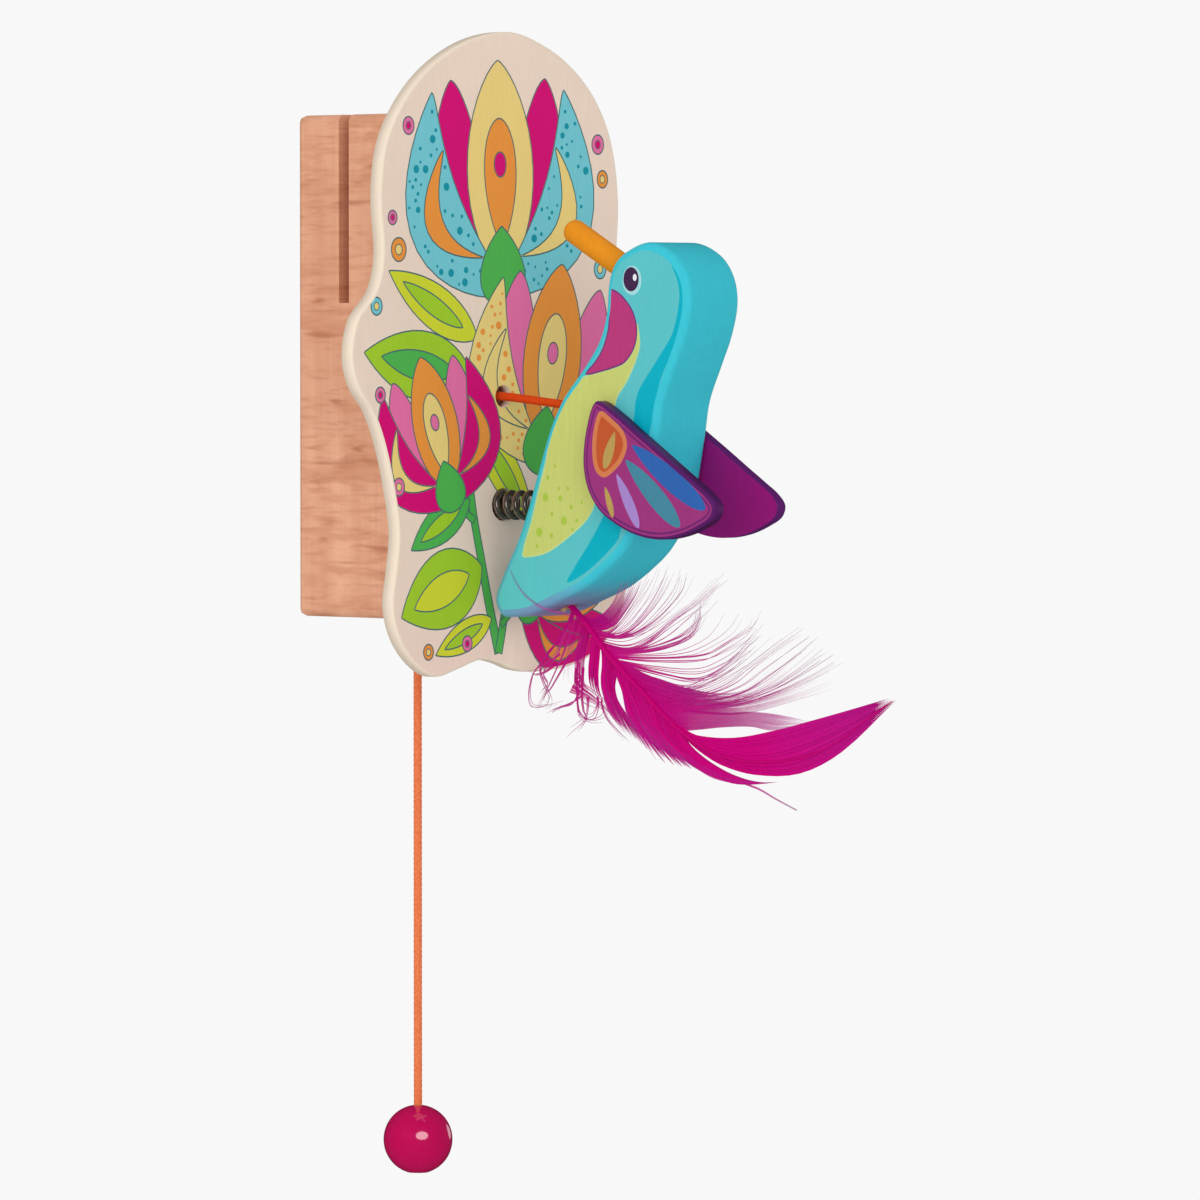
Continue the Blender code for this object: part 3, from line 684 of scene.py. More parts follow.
def plate_print():
    """Four tulips on curved stems, with leaves and berries."""
    rng = random.Random(7)
    art = Print(PLATE_INKS)
    for points, widths in (
        ([(-2, -82), (-8, -60), (-14, -30), (-9, 0), (-2, 18)], (3.2, 2.8, 2.4, 2.4)),
        ([(-2, -82), (3, -62), (10, -46), (15, -34), (17, -29)], (3.0, 2.4, 2.0, 1.8)),
        ([(-12, -44), (-18, -40), (-22, -36)], (2.2, 1.8, 1.6)),
        ([(-1, -74), (4, -70), (9, -68)], (2.2, 1.8, 1.6)),
    ):
        art.draw(strip(points, widths), "green")
    for base, tip, width, bend, colour, light in (
        ((-9, -57), (-42, -71), 22, -0.12, "lime", "yellow_green"),
        ((-5, -72), (-28, -82), 9, 0.1, "yellow_green", "lime"),
        ((3, -60), (47, -44), 15, 0.16, "lime", "yellow_green"),
        ((-13, -3), (-57, 4), 20, 0.14, "lime", "green"),
        ((-11, 8), (-47, 27), 13, 0.14, "yellow_green", "lime"),
        ((-11, -16), (13, -46), 12, 0.14, "yellow_green", "lime"),
        ((18, -36), (48, -34), 12, 0.14, "green", "lime"),
        ((-14, -38), (-38, -52), 11, -0.16, "green", "lime"),
    ):
        art.draw(leaf(base, tip, width, 0.75, 0.95, bend), colour)
        near, far = Vector(base).lerp(Vector(tip), 0.16), Vector(base).lerp(Vector(tip), 0.84)
        art.draw(leaf(near, far, width * 0.42, 0.8, 0.9, bend), light)
    tulip(art, rng, (-1, 51), 2, 55, "turquoise", "deep_turquoise", "yellow", "orange", "magenta")
    tulip(art, rng, (20, -2), -9, 48, "yellow", "orange", "orange", "yellow", "pink")
    tulip(art, rng, (-27, -20), 18, 36, "magenta", None, "orange", "yellow", "pink")
    tulip(art, rng, (25, -66), -80, 32, "magenta", None, "orange", "magenta", "magenta")
    for across, up, wide, colour, core in (
        (-43, 33, 6, "orange", "yellow"),
        (-45.5, 42, 3.6, "pink", "magenta"),
        (-39, 68, 4.5, "pink", "magenta"),
        (42, 54, 4.5, "orange", "yellow"),
        (40, 64, 5, "pink", "magenta"),
        (41, 28, 5, "turquoise", "yellow"),
        (-43, -34, 4.5, "pink", "yellow"),
        (-31, -81, 4, "orange", "yellow"),
        (44, -22, 5, "turquoise", "yellow"),
        (-52, 17, 4.5, "turquoise", "yellow"),
        (-50.5, -8, 4, "pink", "magenta"),
        (-15, -79, 4, "pink", "magenta"),
    ):
        art.draw(oval((across, up), wide, wide * 1.12), colour)
        art.draw(oval((across, up), wide * 0.45, wide * 0.5), core, 0.3)
    return art.shapes


def make_plate():
    inks = []
    for name, colour in PLATE_INKS.items():
        inks.append(ink("print_" + name, colour, 0.5, 0.03 if name == "rim" else 0.035))
    size = plate_high - plate_low
    plate = printed_slab(
        "printed_plate", fitted(PLATE_OUTLINE, (plate_low.x, plate_low.z), (size.x, size.z)),
        lambda x, z, y: Vector((x, y, z)), (plate_low.y, plate_high.y), (PLATE_EDGE, 0.0),
        (plate_print(), []), inks, [((0, CORD_HOLE_HEIGHT), CORD_HOLE), ((0, spring_height), SPRING_SEAT)],
    )
    stand_in(plate, "face_plate", "base")


# The bird, whose fields are given in its own plane

THROAT = [
    (32.1, 61.1), (35.5, 60.2), (38.2, 58.1), (40.6, 55.3), (41.9, 52.3), (42.3, 49.3), (41.8, 46.3),
    (40.4, 43.6), (37.5, 40.8), (34.1, 39.6), (29.4, 38.5), (22.9, 37.5), (26, 40.3), (29, 43.8),
    (30.7, 47.3), (31.8, 51.3), (32, 56.3),
]
BELLY = [
    (20.9, 36.2), (17.1, 32.2), (13.7, 28.2), (10.9, 23.1), (8.5, 17), (7.3, 12.2), (4.6, 4.4), (2, -4.1),
    (-1.6, -14.1), (2, -14.4), (8.2, -13.1), (13.5, -10.4), (18.8, -7.1), (23.2, -3.8), (25.8, -0.5),
    (30, 10), (33, 22), (34.8, 30.5), (38.2, 34.8), (40.2, 37.8), (42.6, 42.3), (43.7, 46.3), (42.6, 51.8),
    *THROAT[5:11], (24, 37.4),
]
STRIPE = [
    (55.3, 68.2), (57.4, 64.2), (58.4, 60.2), (58, 56.3), (57, 52.3), (55.4, 48.3), (52.3, 44.3), (49, 40.3),
    (45.6, 36.3), (43.3, 33.3), (41.9, 29.8), (41.4, 25.8), (38, 12), (29.3, -3), (26.7, -6.9), (23.2, -11.5),
    (18.8, -16.8), (15.7, -21.4), (22.3, -18.7), (27.6, -15.3), (31.9, -12), (35.4, -8.7), (36.3, -6.1),
    (44, 8), (47.1, 20.9), (48, 23.9), (49, 27.9), (50, 31.9), (51.3, 35.9), (53, 39.3), (55, 42.8),
    (57, 46.8), (58.7, 51.3), (59.4, 55.3), (59.5, 59.7), (58.7, 63.7), (56, 67.9),
]
BELLY_DOTS = [
    (7.5, 2.6, 2.2), (14.6, -3.9, 2.2), (5.1, -7.3, 2.4), (13.2, 2.4, 1.4), (8.4, 8.2, 1.2),
    (17.4, 0, 1.2), (10, -2.1, 1.1), (9.8, -8.2, 1.3), (17.9, -6.4, 0.9), (21.4, 1.4, 0.9),
    (12.6, 5.2, 0.9), (19.5, -3.8, 1.1), (16.1, 5.2, 1.0), (4.2, -11.2, 1.0), (11.2, 11.4, 0.9),
]
EYE = [
    ("halo", (40.55, 63.8), 7.2, 8.2, 28),
    ("eye", (40.2, 64.1), 5.8, 6.8, 28),
    ("glint", (41.6, 64.6), 1.5, 2.0, 14),
]
FIELD_STEPS = 3
BELLY_DOT_SIDES = 14
BODY_INKS = {
    "face": ((96, 204, 210), 0.42, 0.05),
    # The side's last entry is a painted reflection: purple from the feather, round a place under the tail.
    "side": ((62, 207, 225), 0.42, 0.06, 0.12, ((150, 96, 170), on_bird(2, -31), 26)),
    "stripe": ((0, 184, 206), 0.42, 0.05),
    "belly": ((208, 217, 122), 0.45, 0.05),
    "belly_edge": ((198, 226, 156), 0.45, 0.05),
    "belly_dot": ((178, 206, 76), 0.45, 0.05),
    "throat": ((194, 60, 128), 0.45, 0.06),
    "throat_line": ((110, 60, 130), 0.45, 0.05),
    "halo": ((170, 228, 232), 0.42, 0.05),
    "eye": ((72, 42, 82), 0.35, 0.05, 0.2),
    "glint": ((238, 240, 246), 0.35, 0.02, 0.2),
}

# Bores in the bird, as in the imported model
FIT = 0.3
END_GAP = 0.5
OVERSHOOT = 6.0  # of a cutter, out of the wood
SPRING_IN_BIRD = 11.0
BEAK_SLOPE = math.radians(28.6)
BEAK_IN_HEAD = 14.0
CORD_IN_CHEST = 16.0
CHEST_HOLE = 6.0
CHEST_HOLE_SHIFT = 1.45  # from the cord to the middle of the hole that it shares with its peg
QUILL_HOLE = 4.7
QUILL_HOLE_SHIFT = 1.1


def cord_end():
    """The inner end of the cord in the chest, and the cord's direction there."""
    low, _ = node_box("cord_front")
    far = Vector((0, low.y, low.z + CORD_DIAMETER / 2))
    return far, (far - Vector((0, plate_front, CORD_HOLE_HEIGHT))).normalized()


def bird_print():
    art = Print(BODY_INKS)
    stripe, belly, throat = (smooth_curve(field, FIELD_STEPS, True) for field in (STRIPE, BELLY, THROAT))
    art.fill(stripe, "stripe")
    art.fill(belly, "belly_edge")
    art.fill(grown(belly, -0.45), "belly")
    for front, up, wide in BELLY_DOTS:
        art.fill(oval((front, up), wide, wide * 1.15, BELLY_DOT_SIDES), "belly_dot")
    art.fill(grown(throat, 0.25), "throat_line")
    art.fill(grown(throat, -0.2), "throat")
    for colour, centre, wide, tall, sides in EYE:
        art.fill(oval(centre, wide, tall, sides), colour)
    return art.shapes


def make_body():
    bare = bare_wood("bird_bare_wood")
    inks = [ink("bird_" + name, *row) for name, row in BODY_INKS.items()]
    size = body_high - body_low
    raw_low, _ = corners_of(BIRD_OUTLINE)
    art = bird_print()
    body = printed_slab(
        "painted_bird", fitted(BIRD_OUTLINE, raw_low, (size.y, size.z)), on_bird, (body_low.x, body_high.x),
        (BIRD_EDGE, BIRD_EDGE), (art, art), inks + [bare],
    )
    seat_start = Vector((0, spring_low.y - END_GAP, spring_height))
    seat_out = Vector((0, 1, 0))
    beak_low, beak_high = node_box("beak")
    beak_radius = (beak_high.x - beak_low.x) / 2
    beak_out = Vector((0, math.cos(BEAK_SLOPE), math.sin(BEAK_SLOPE)))
    beak_root = Vector((0, beak_low.y + beak_radius * beak_out.z, beak_low.z + beak_radius * beak_out.y))
    cord_far, inward = cord_end()
    below = Vector((0, -inward.z, inward.y))
    cord_start = cord_far + inward * END_GAP + below * CHEST_HOLE_SHIFT
    root, after = Vector(SHAFT_LINE[0]), Vector(SHAFT_LINE[1])
    run = (after - root).normalized()
    quill_middle = root + Vector((-abs(run.y), -abs(run.x))) * QUILL_HOLE_SHIFT
    quill_out = (on_bird(*run) - on_bird(0, 0)).normalized()
    quill_start = on_bird(*quill_middle) - quill_out * (SHAFT_ROOT + END_GAP)
    bored(body, [
        bore("seat_bore", seat_start, seat_out, SPRING_IN_BIRD + OVERSHOOT, SPRING_SEAT, bare),
        bore("beak_bore", beak_root - beak_out * END_GAP, beak_out, BEAK_IN_HEAD + OVERSHOOT,
             2 * (beak_radius + FIT), bare),
        bore("cord_bore_in_chest", cord_start, -inward, CORD_IN_CHEST + OVERSHOOT, CHEST_HOLE, bare),
        bore("quill_bore", quill_start, quill_out, SHAFT_ROOT + OVERSHOOT, QUILL_HOLE, bare),
    ])
    stand_in(body, "bird_body", "bird")


# Wings

WING_INKS = {
    "ground": (165, 56, 130),
    "edge": (96, 30, 108),
    "border": (118, 40, 118),
    "orange": (204, 92, 50),
    "light_orange": (222, 132, 84),
    "blue": (50, 106, 186),
    "teal": (72, 142, 166),
    "lilac": (174, 140, 214),
    "yellow": (196, 164, 92),
    "back": (160, 26, 126),
}
WING_DROP = [
    (32.4, 27.2), (36.6, 25.2), (41.2, 21.6), (42.6, 17.6), (40.8, 13.4), (37, 10), (33.6, 8.6),
    (30.6, 10.6), (29.4, 15.4), (30, 22.2),
]
DROP_STEPS = 4
WING_BARS = [
    ("blue", (44.4, 17.8), (71.9, 0.2), 6.4, -0.06),
    ("teal", (42.0, 13.6), (62.4, -4.8), 6.0, 0.04),
    ("lilac", (38.6, 9.6), (47.0, -5.4), 3.6, 0.1),
    ("yellow", (34.2, 6.0), (37.2, -2.6), 2.2, 0.1),
]


def wing_print(outline):
    art = Print(WING_INKS)
    drop = smooth_curve(WING_DROP, DROP_STEPS, True)
    art.fill(grown(outline, -1.4), "border")
    art.fill(grown(outline, -2.0), "ground")
    art.fill(drop, "light_orange")
    art.fill(grown(drop, -1.5), "orange")
    art.fill(leaf((34, 11), (38, 21.5), 3.4, 0.6, 0.9), "yellow")
    for colour, base, tip, width, bend in WING_BARS:
        art.fill(leaf(base, tip, width, 0.75, 0.55, bend), colour)
    return art.shapes


def make_wings():
    inks = [ink("wing_" + name, colour, 0.42, 0.07) for name, colour in WING_INKS.items()]
    size = wing_high - wing_low
    outline = fitted(WING_OUTLINE, (chest - wing_high.y, wing_low.z - spring_height), (size.y, size.z))
    prints = [(outline, len(inks) - 1)], wing_print(outline)
    for hand, side in (("left", -1), ("right", 1)):
        wing = printed_slab(
            "painted_wing_" + hand, outline, lambda front, up, w, s=side: on_bird(front, up, s * w),
            (wing_low.x, wing_high.x), (0.0, WING_EDGE), prints, inks,
        )
        stand_in(wing, "wing_" + hand, "bird")


def dress_beak():
    bare = bare_wood("peg_wood")
    repaint("beak", ink("beak_orange", (245, 152, 30), 0.42, 0.06))
    repaint("chest_peg", bare)
    repaint("feather_peg", bare)


# Spring

SPRING_WIRE = 1.9
SPRING_PITCH = 3.7
SPRING_PHASE = 0.45  # of a turn, at the end in the block
SPRING_ARC_STEPS = 40
WIRE_SIDES = 14


def sweep(name, points, radius, sides, materials):
    """A round bar along the points. radius gives one for a share of the length and an angle."""
    rings = []
    normal = run_at(points, 0).normalized().orthogonal()
    for i, p in enumerate(points):
        run = run_at(points, i).normalized()
        normal = (normal - run * normal.dot(run)).normalized()
        across = run.cross(normal)
        share = i / (len(points) - 1)
        rings.append(
            [p + (normal * math.cos(a) + across * math.sin(a)) * radius(share, a) for a in angles(sides)]
        )
    return bar(name, rings, materials)


def make_spring():
    radius = (spring_high.z - spring_low.z - SPRING_WIRE) / 2
    start = spring_high.y - SPRING_WIRE / 2
    end = spring_low.y + SPRING_WIRE / 2
    turns = (start - end) / SPRING_PITCH
    count = round(turns * SPRING_ARC_STEPS)
    points = []
    for i in range(count + 1):
        a = 2 * math.pi * (turns * i / count + SPRING_PHASE)
        y = start + (end - start) * i / count
        points.append(Vector((radius * math.cos(a), y, spring_height + radius * math.sin(a))))
    steel = wire("spring_wire", (158, 142, 134))
    coil = sweep("coil_spring", points, lambda share, a: SPRING_WIRE / 2, WIRE_SIDES, [steel])
    stand_in(coil, "spring")
    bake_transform(coil)


# The feather

SHAFT_LINE = [
    (7, -28.3), (13.2, -33.5), (20.4, -40.9), (25.5, -45.3), (32.7, -50.6), (40.8, -56.9), (48.9, -62.5),
    (57, -66.6), (66, -69.4), (80.9, -70.2), (95.7, -68), (108.4, -63), (118.1, -56.9), (126.8, -51.9),
]
SHAFT_WIDTHS = (1.9, 1.7, 1.3, 0.9, 0.5, 0.3)
SHAFT_ROOT = 8.5  # inside the tail
FEATHER_CUP = 0.12  # sideways curl, as a share of the distance from the shaft
BARB_STEPS = 4
ROOT_OVERLAP = 0.8  # of a barb, past the middle of the shaft
HAIR_STEPS = 6
BARB_LIFT = 0.12  # over or under the other barbs
BLUNT_TIP = 0.06  # share of its width that a barb keeps at its tip
LEAST_WIDTH = 0.1
CLUMP_FROM = 0.55  # share of a barb's length where it starts to lean to the middle of its clump
CLUMP_LEAN = 0.8
HAIR_WIDTHS = (0.7, 1.2)  # least and most, as shares of the width asked for
TUFT_ROOT = 0.35  # from the root of a tuft's guide to the root of its barb, at most
TUFT_ENDS = (0.72, 1.0)  # least and most of the guide's length
TUFT_LEAST = 8  # points that a barb of a tuft keeps
TUFT_STRIDE = 4  # between the points that it follows
TUFT_TAPER = 0.86
SHAFT_STEPS = 8
HOOK_UNDER = 4.0  # from the bird's face to where the hooked barb goes under the tail
HOOK_LIFT = 0.15  # off the bird's face
QUILL_SIDES = 12

# Colours at a barb's root, middle and tip, and its opacity at the root and the tip
DYES = {
    "solid": ((212, 0, 126), (216, 0, 132), (198, 24, 146), (1.0, 1.0)),
    "soft": ((204, 0, 128), (198, 34, 148), (214, 116, 184), (1.0, 0.5)),
    "hair": ((206, 0, 130), (196, 56, 150), (160, 96, 142), (1.0, 0.75)),
    "haze": ((206, 0, 128), (204, 24, 146), (204, 70, 160), (0.95, 0.5)),
    "faint": ((200, 10, 140), (176, 60, 164), (150, 90, 176), (0.6, 0.25)),
}
SOLID, SOFT, HAIR, HAZE, FAINT = range(len(DYES))

# Locks of barbs that lie edge to edge. Each runs between two guide barbs, from the shaft outwards.
VEIL = (
    [(22.2, -41.7), (30.6, -45.4), (44.3, -49.2), (60.8, -51.6), (73.1, -50.3), (84.2, -42.5)],
    [(38.2, -54.5), (52.6, -57.1), (64.6, -57.6), (75.7, -56.7), (93.5, -52.5), (111.7, -47.8)],
)
BLADE = (
    [
        (37.4, -53.9), (45.8, -55.7), (55.6, -56.8), (65.3, -57.1), (75.7, -56.5), (87.2, -57.1),
        (98.6, -58.6),
    ],
    [(42.8, -58), (50.3, -62.1), (54.8, -62.1), (64.6, -61.1), (75.7, -60.6), (83.2, -61.4), (97.9, -59)],
)
TIP_ABOVE = (
    [
        (42.8, -57.7), (50.7, -62.1), (56, -63.8), (69.4, -63.9), (83.2, -61.6), (104.4, -56.6),
        (126.5, -50.9),
    ],
    [(51.4, -63.6), (56.3, -66.1), (63.1, -68.3), (75, -70.6), (89.8, -69.3), (108.1, -62.5), (128, -51.5)],
)
TIP_BELOW = (
    TIP_ABOVE[1],
    [
        (50.3, -64.5), (56.3, -68.2), (64.6, -71.7), (76.9, -73.9), (93.5, -72.9), (108.8, -66.4),
        (128.7, -51.2),
    ],
)
LONG_BELOW = (
    [(49.6, -63.7), (54.1, -67.6), (60.8, -71.3), (69.4, -74.5), (78.7, -76.1), (86.1, -75.5)],
    [(41.4, -57.4), (45, -65.1), (52.6, -71.2), (60.8, -74.8), (69.4, -76.6), (78.7, -76.6)],
)
MAIN_BELOW = (
    [(41.6, -57.6), (43.8, -63.2), (47.9, -67.8), (53.3, -71.4), (60.8, -74.8), (69.4, -76.4), (78, -76.4)],
    [(22.9, -42.2), (25, -48.1), (26.8, -51.7), (27.7, -55.1), (28.7, -58.2), (34, -64.8), (40.5, -71.6)],
)
NEAR_BELOW = (
    [(22.6, -41.9), (24.7, -47.3), (24.1, -51.2), (25.2, -54.9), (28.3, -58.6), (32.1, -62.9), (37.4, -68.9)],
    [(18, -37.5), (19, -41.5), (19.1, -45.2), (18.7, -48.6), (19.1, -52), (21, -56.4), (24.5, -60.9)],
)
BETWEEN_SLITS = (
    [(18.3, -38.1), (18.3, -41.2), (17.9, -44.9), (17.7, -48.6), (18.3, -52.5), (20.3, -55.9)],
    [(14.5, -33.9), (15.1, -37.6), (14.6, -41.3), (13.9, -45.9), (14.1, -50.1), (16, -54)],
)
ROOT_BELOW = (
    [(14.9, -34.5), (13.7, -38.5), (12.8, -42.2), (12.2, -46.2), (12.6, -50.4), (15.3, -54.3)],
    [(11.8, -32.2), (10.2, -36.8), (8.9, -41.6), (8.4, -46.3), (8.9, -50.4), (11.2, -53.2)],
)
ROOT_LEFT = (
    [(11.4, -32), (9.6, -36.8), (8.2, -42), (7.8, -47), (9.2, -51)],
    [(9.6, -30.6), (7.4, -35.8), (5, -41), (3, -46.2), (1.4, -50.6)],
)
FELTED_BELOW = (
    [(10.4, -47), (12, -50.2), (15.3, -52.1), (18.7, -54.2), (21.8, -57)],
    [(6.6, -53), (11, -54), (14.9, -55.5), (18.3, -57.1), (22.2, -59.2)],
)
FRINGE_BELOW = (
    [(19.9, -54.8), (21.4, -58.1), (24.5, -61.4), (28.3, -64.7)],
    [(22.9, -56.4), (25.2, -59.7), (28.3, -62.4), (32.1, -66.3)],
)
ROOT_ABOVE = (
    [(9.5, -29.5), (13.7, -31.7), (18.3, -31), (22.6, -27.8), (25.2, -23.8), (26.8, -19.5)],
    [(12.2, -32), (17.6, -35), (23.7, -33.7), (28.7, -29.1), (32.5, -24.5), (34.8, -19.6)],
)

# Single loose barbs, each from the shaft to its tip, in their order along it
LOOSE_ABOVE = [
    [(10.6, -31.3), (19.5, -36.1), (25.6, -32.8), (31, -27), (34.8, -22.2), (37.1, -18.5)],
    [(13.7, -33.9), (23.3, -36.5), (30.2, -34.5), (37.1, -28.9), (42.2, -23.1), (45.4, -17.9)],
    [(16, -36.3), (26, -37), (34.8, -34.8), (43.5, -29.6), (49.2, -24.4), (50.3, -20.4)],
    [(18.3, -38.7), (29.8, -40.3), (39, -36.7), (46.5, -31.7), (55.9, -26.5), (66.4, -19.3)],
    [(19.9, -40.3), (32.9, -40.3), (48.4, -36.9), (54.8, -33.5), (56.7, -29.8), (57.1, -26.5)],
    [(21, -41.3), (32.9, -41.1), (43.5, -39.7), (52.9, -36.4), (55.9, -32.1), (56.7, -29)],
    [(22.2, -42.4), (37.1, -42.7), (58.6, -41.3), (69.4, -36.8), (76.6, -33.5), (80.9, -28.7)],
    [(23.7, -43.7), (39.3, -46.3), (53.7, -48), (63.1, -45.9), (71.3, -40.9), (76.7, -37.7)],
    [(26.8, -46.3), (39.3, -48.5), (50.7, -50.5), (59.3, -48), (69.4, -43.2), (77.2, -36.6)],
    [(33.6, -51.3), (46.9, -51.7), (56.7, -52), (66.1, -49.4), (74.2, -44.6), (92.7, -34.8)],
    [(41.2, -57), (56.3, -55.1), (69.4, -53.2), (80.6, -49.8), (89.8, -44.9), (99.9, -38.4)],
    [(42.8, -58.2), (58.2, -56.4), (71.3, -54.9), (86.1, -51.1), (96.8, -47.7), (107, -43.8)],
]
LOOSE_BELOW = [
    [(7.9, -29.4), (5.2, -35.3), (1.4, -42.5), (-2.9, -46.3), (-7.6, -48.5), (-10.7, -49.1)],
    [(8.3, -29.8), (6, -38.1), (1.7, -46.2), (-1.8, -52), (-4.9, -56.7), (-7.2, -59)],
    [(6.8, -32.4), (-1.8, -42.6), (-7.6, -48.2), (-9.2, -53.9), (-8.2, -57.3), (-3.7, -57.2), (6.8, -54.9)],
    [(2.9, -38.2), (-4.5, -45.2), (-2.9, -50.9), (-0.2, -55.4), (-4.5, -57.2)],
    [(10.4, -44.5), (9.1, -55.1), (2.9, -57.3), (-1.8, -59.4)],
    [(11.8, -46), (11.4, -57.3), (13, -60.4), (7.9, -64), (4.1, -67.2)],
    [(9.6, -42.5), (9.5, -56.8), (11, -59.6), (14.5, -60.9), (19.5, -59.3), (20.3, -55.2)],
    [(2.9, -42.5), (-3.7, -47.5), (-1.8, -51.2), (-4.5, -54.1), (-6, -57.3)],
    [(6.8, -42.4), (3.7, -46.2), (-1, -52), (-2.9, -53.2), (-4.9, -57)],
    [(1.4, -45.1), (-4.9, -48.7), (-9.9, -48.8)],
    [(10.6, -54.2), (7.9, -55.7), (1, -57.9), (-2.5, -59.4)],
    [(10.6, -52.2), (9.9, -55.1), (10.3, -59.6), (14.5, -60.3)],
    [(13.7, -54.4), (13.7, -57.2), (13.3, -60.1), (11.8, -62.7)],
    [(17.6, -54.3), (17.6, -56.5), (16, -59.4), (12.2, -60.4)],
    [(18.7, -54.8), (19.5, -58.2), (22.6, -61.5), (27.9, -65.3), (32.1, -67.4)],
    [(9.1, -46), (8.7, -50.8), (10.3, -54.2), (14.5, -56.4), (19.5, -57)],
]
STRAY_BARB = [(69.4, -75.3), (73.5, -76.6), (78.7, -78), (84.3, -80.3), (92.4, -83.3)]

# One barb hooks round the tail and lies over its face
HOOKED_BARB = [
    (12, -32), (9.8, -30.2), (6.4, -28.7), (3.7, -27.5), (0.2, -25.6), (-2.3, -23.4), (-4.3, -21.1),
    (-6.1, -18.2),
]


def feather_place(spot, shaft, lift):
    """A point of the feather, which curls sideways away from its shaft."""
    side = FEATHER_CUP * min((spot - p).length for p in shaft) + lift
    return on_bird(spot.x - side / math.tan(math.radians(CAMERA_TURN)), spot.y, side)


class Barbs:
    """Flat tapered barbs in one mesh. The map holds each barb's own number and the share of its length."""

    def __init__(self, shaft, seed):
        self.shaft = shaft
        self.rng = random.Random(seed)
        self.points, self.faces, self.maps, self.slots = [], [], [], []

    def ribbon(self, pairs, number, slot):
        """Faces between pairs of points along a barb."""
        first = len(self.points)
        for i, pair in enumerate(pairs):
            self.points += pair
            self.maps += [(number, i / (len(pairs) - 1))] * 2
            if i:
                k = first + 2 * i
                self.faces.append((k - 2, k - 1, k + 1, k))
                self.slots.append(slot)

    def add(self, line, widths, slot, tilt=0.05):
        number = self.rng.random()
        lift = self.rng.uniform(-BARB_LIFT, BARB_LIFT)
        tilt = self.rng.uniform(-tilt, tilt)
        pairs = []
        for i, p in enumerate(line):
            half = beside(run_at(line, i)) * widths[i] / 2
            pairs.append([feather_place(p + half * s, self.shaft, lift + tilt * s) for s in (1, -1)])
        self.ribbon(pairs, number, slot)

    def lock(self, guides, count, slot, fray, clump, overlap, thin_from):
        """Barbs between two guides. clump is how many of them lean together at their tips."""
        first, last = (smooth_curve(g, BARB_STEPS) for g in guides)
        steps = len(first) - 1
        for i in range(count):
            share = (i + 0.5) / count
            middle = (math.floor(i / clump) * clump + clump / 2) / count if clump else share
            end = 1 - fray * self.rng.random() ** 1.5
            line, widths = [], []
            for k in range(steps + 1):
                t = k / steps * end
                a, b = value_at(first, t), value_at(last, t)
                parted = max(0, (t - CLUMP_FROM) / (1 - CLUMP_FROM)) ** 2
                line.append(a.lerp(b, share + (middle - share) * CLUMP_LEAN * parted))
                taper = min(1, (end - t) / (1 - thin_from) + BLUNT_TIP)
                widths.append(max((b - a).length / count * overlap, LEAST_WIDTH) * taper)
            line[0] = line[0] + (line[0] - line[1]).normalized() * ROOT_OVERLAP
            self.add(line, widths, slot)

    def stray(self, most):
        return Vector((self.rng.uniform(-most, most), self.rng.uniform(-most, most)))

    def hair(self, guide, width, slot, wander, taper=0.8):
        """A loose barb. wander is how far its tip may stray from the guide's."""
        stray = self.stray(wander)
        last = len(guide) - 1
        line = smooth_curve([Vector(p) + stray * (i / last) ** 1.8 for i, p in enumerate(guide)], HAIR_STEPS)
        widths = [width * (1 - taper * (i / (len(line) - 1)) ** 0.6) for i in range(len(line))]
        self.add(line, widths, slot, tilt=0.02)

    def between(self, guides, count, width, slot, wander):
        """Loose barbs, spread over guides with the same number of points."""
        columns = [[Vector(p) for p in column] for column in zip(*guides)]
        for i in range(count):
            share = (i + self.rng.random()) / count
            guide = [value_at(column, share) for column in columns]
            self.hair(guide, width * self.rng.uniform(*HAIR_WIDTHS), slot, wander)

    def tufts(self, guides, count, width, slot, wander):
        """Along each guide some barbs that cling together at their roots and part towards their tips."""
        for guide in guides:
            for _ in range(count):
                end = self.rng.uniform(*TUFT_ENDS)
                root = self.stray(TUFT_ROOT)
                line = smooth_curve([Vector(p) + root for p in guide], HAIR_STEPS)
                kept = line[: max(TUFT_LEAST, round(len(line) * end))]
                followed = kept[::TUFT_STRIDE] + [kept[-1]]
                self.hair(followed, width * self.rng.uniform(*HAIR_WIDTHS), slot, wander, TUFT_TAPER)

    def strand(self, points, width, slot):
        """A barb along points in space, flat against the bird's side."""
        line = smooth_curve(points, BARB_STEPS)
        pairs = []
        for i, p in enumerate(line):
            half = run_at(line, i).cross(Vector((1, 0, 0))).normalized() * width / 2
            pairs.append([p + half, p - half])
        self.ribbon(pairs, 0.5, slot)

    def piece(self, name, materials, node):
        mesh = bpy.data.meshes.new(name)
        mesh.from_pydata([p * MM for p in self.points], [], self.faces)
        for material in materials:
            mesh.materials.append(material)
        layer = mesh.uv_layers.new(name="barb")
        for polygon, slot in zip(mesh.polygons, self.slots):
            polygon.material_index = slot
            for corner in polygon.loop_indices:
                layer.data[corner].uv = self.maps[mesh.loops[corner].vertex_index]
        mesh.shade_smooth()
        stand_in(placed(name, mesh), node, "bird")


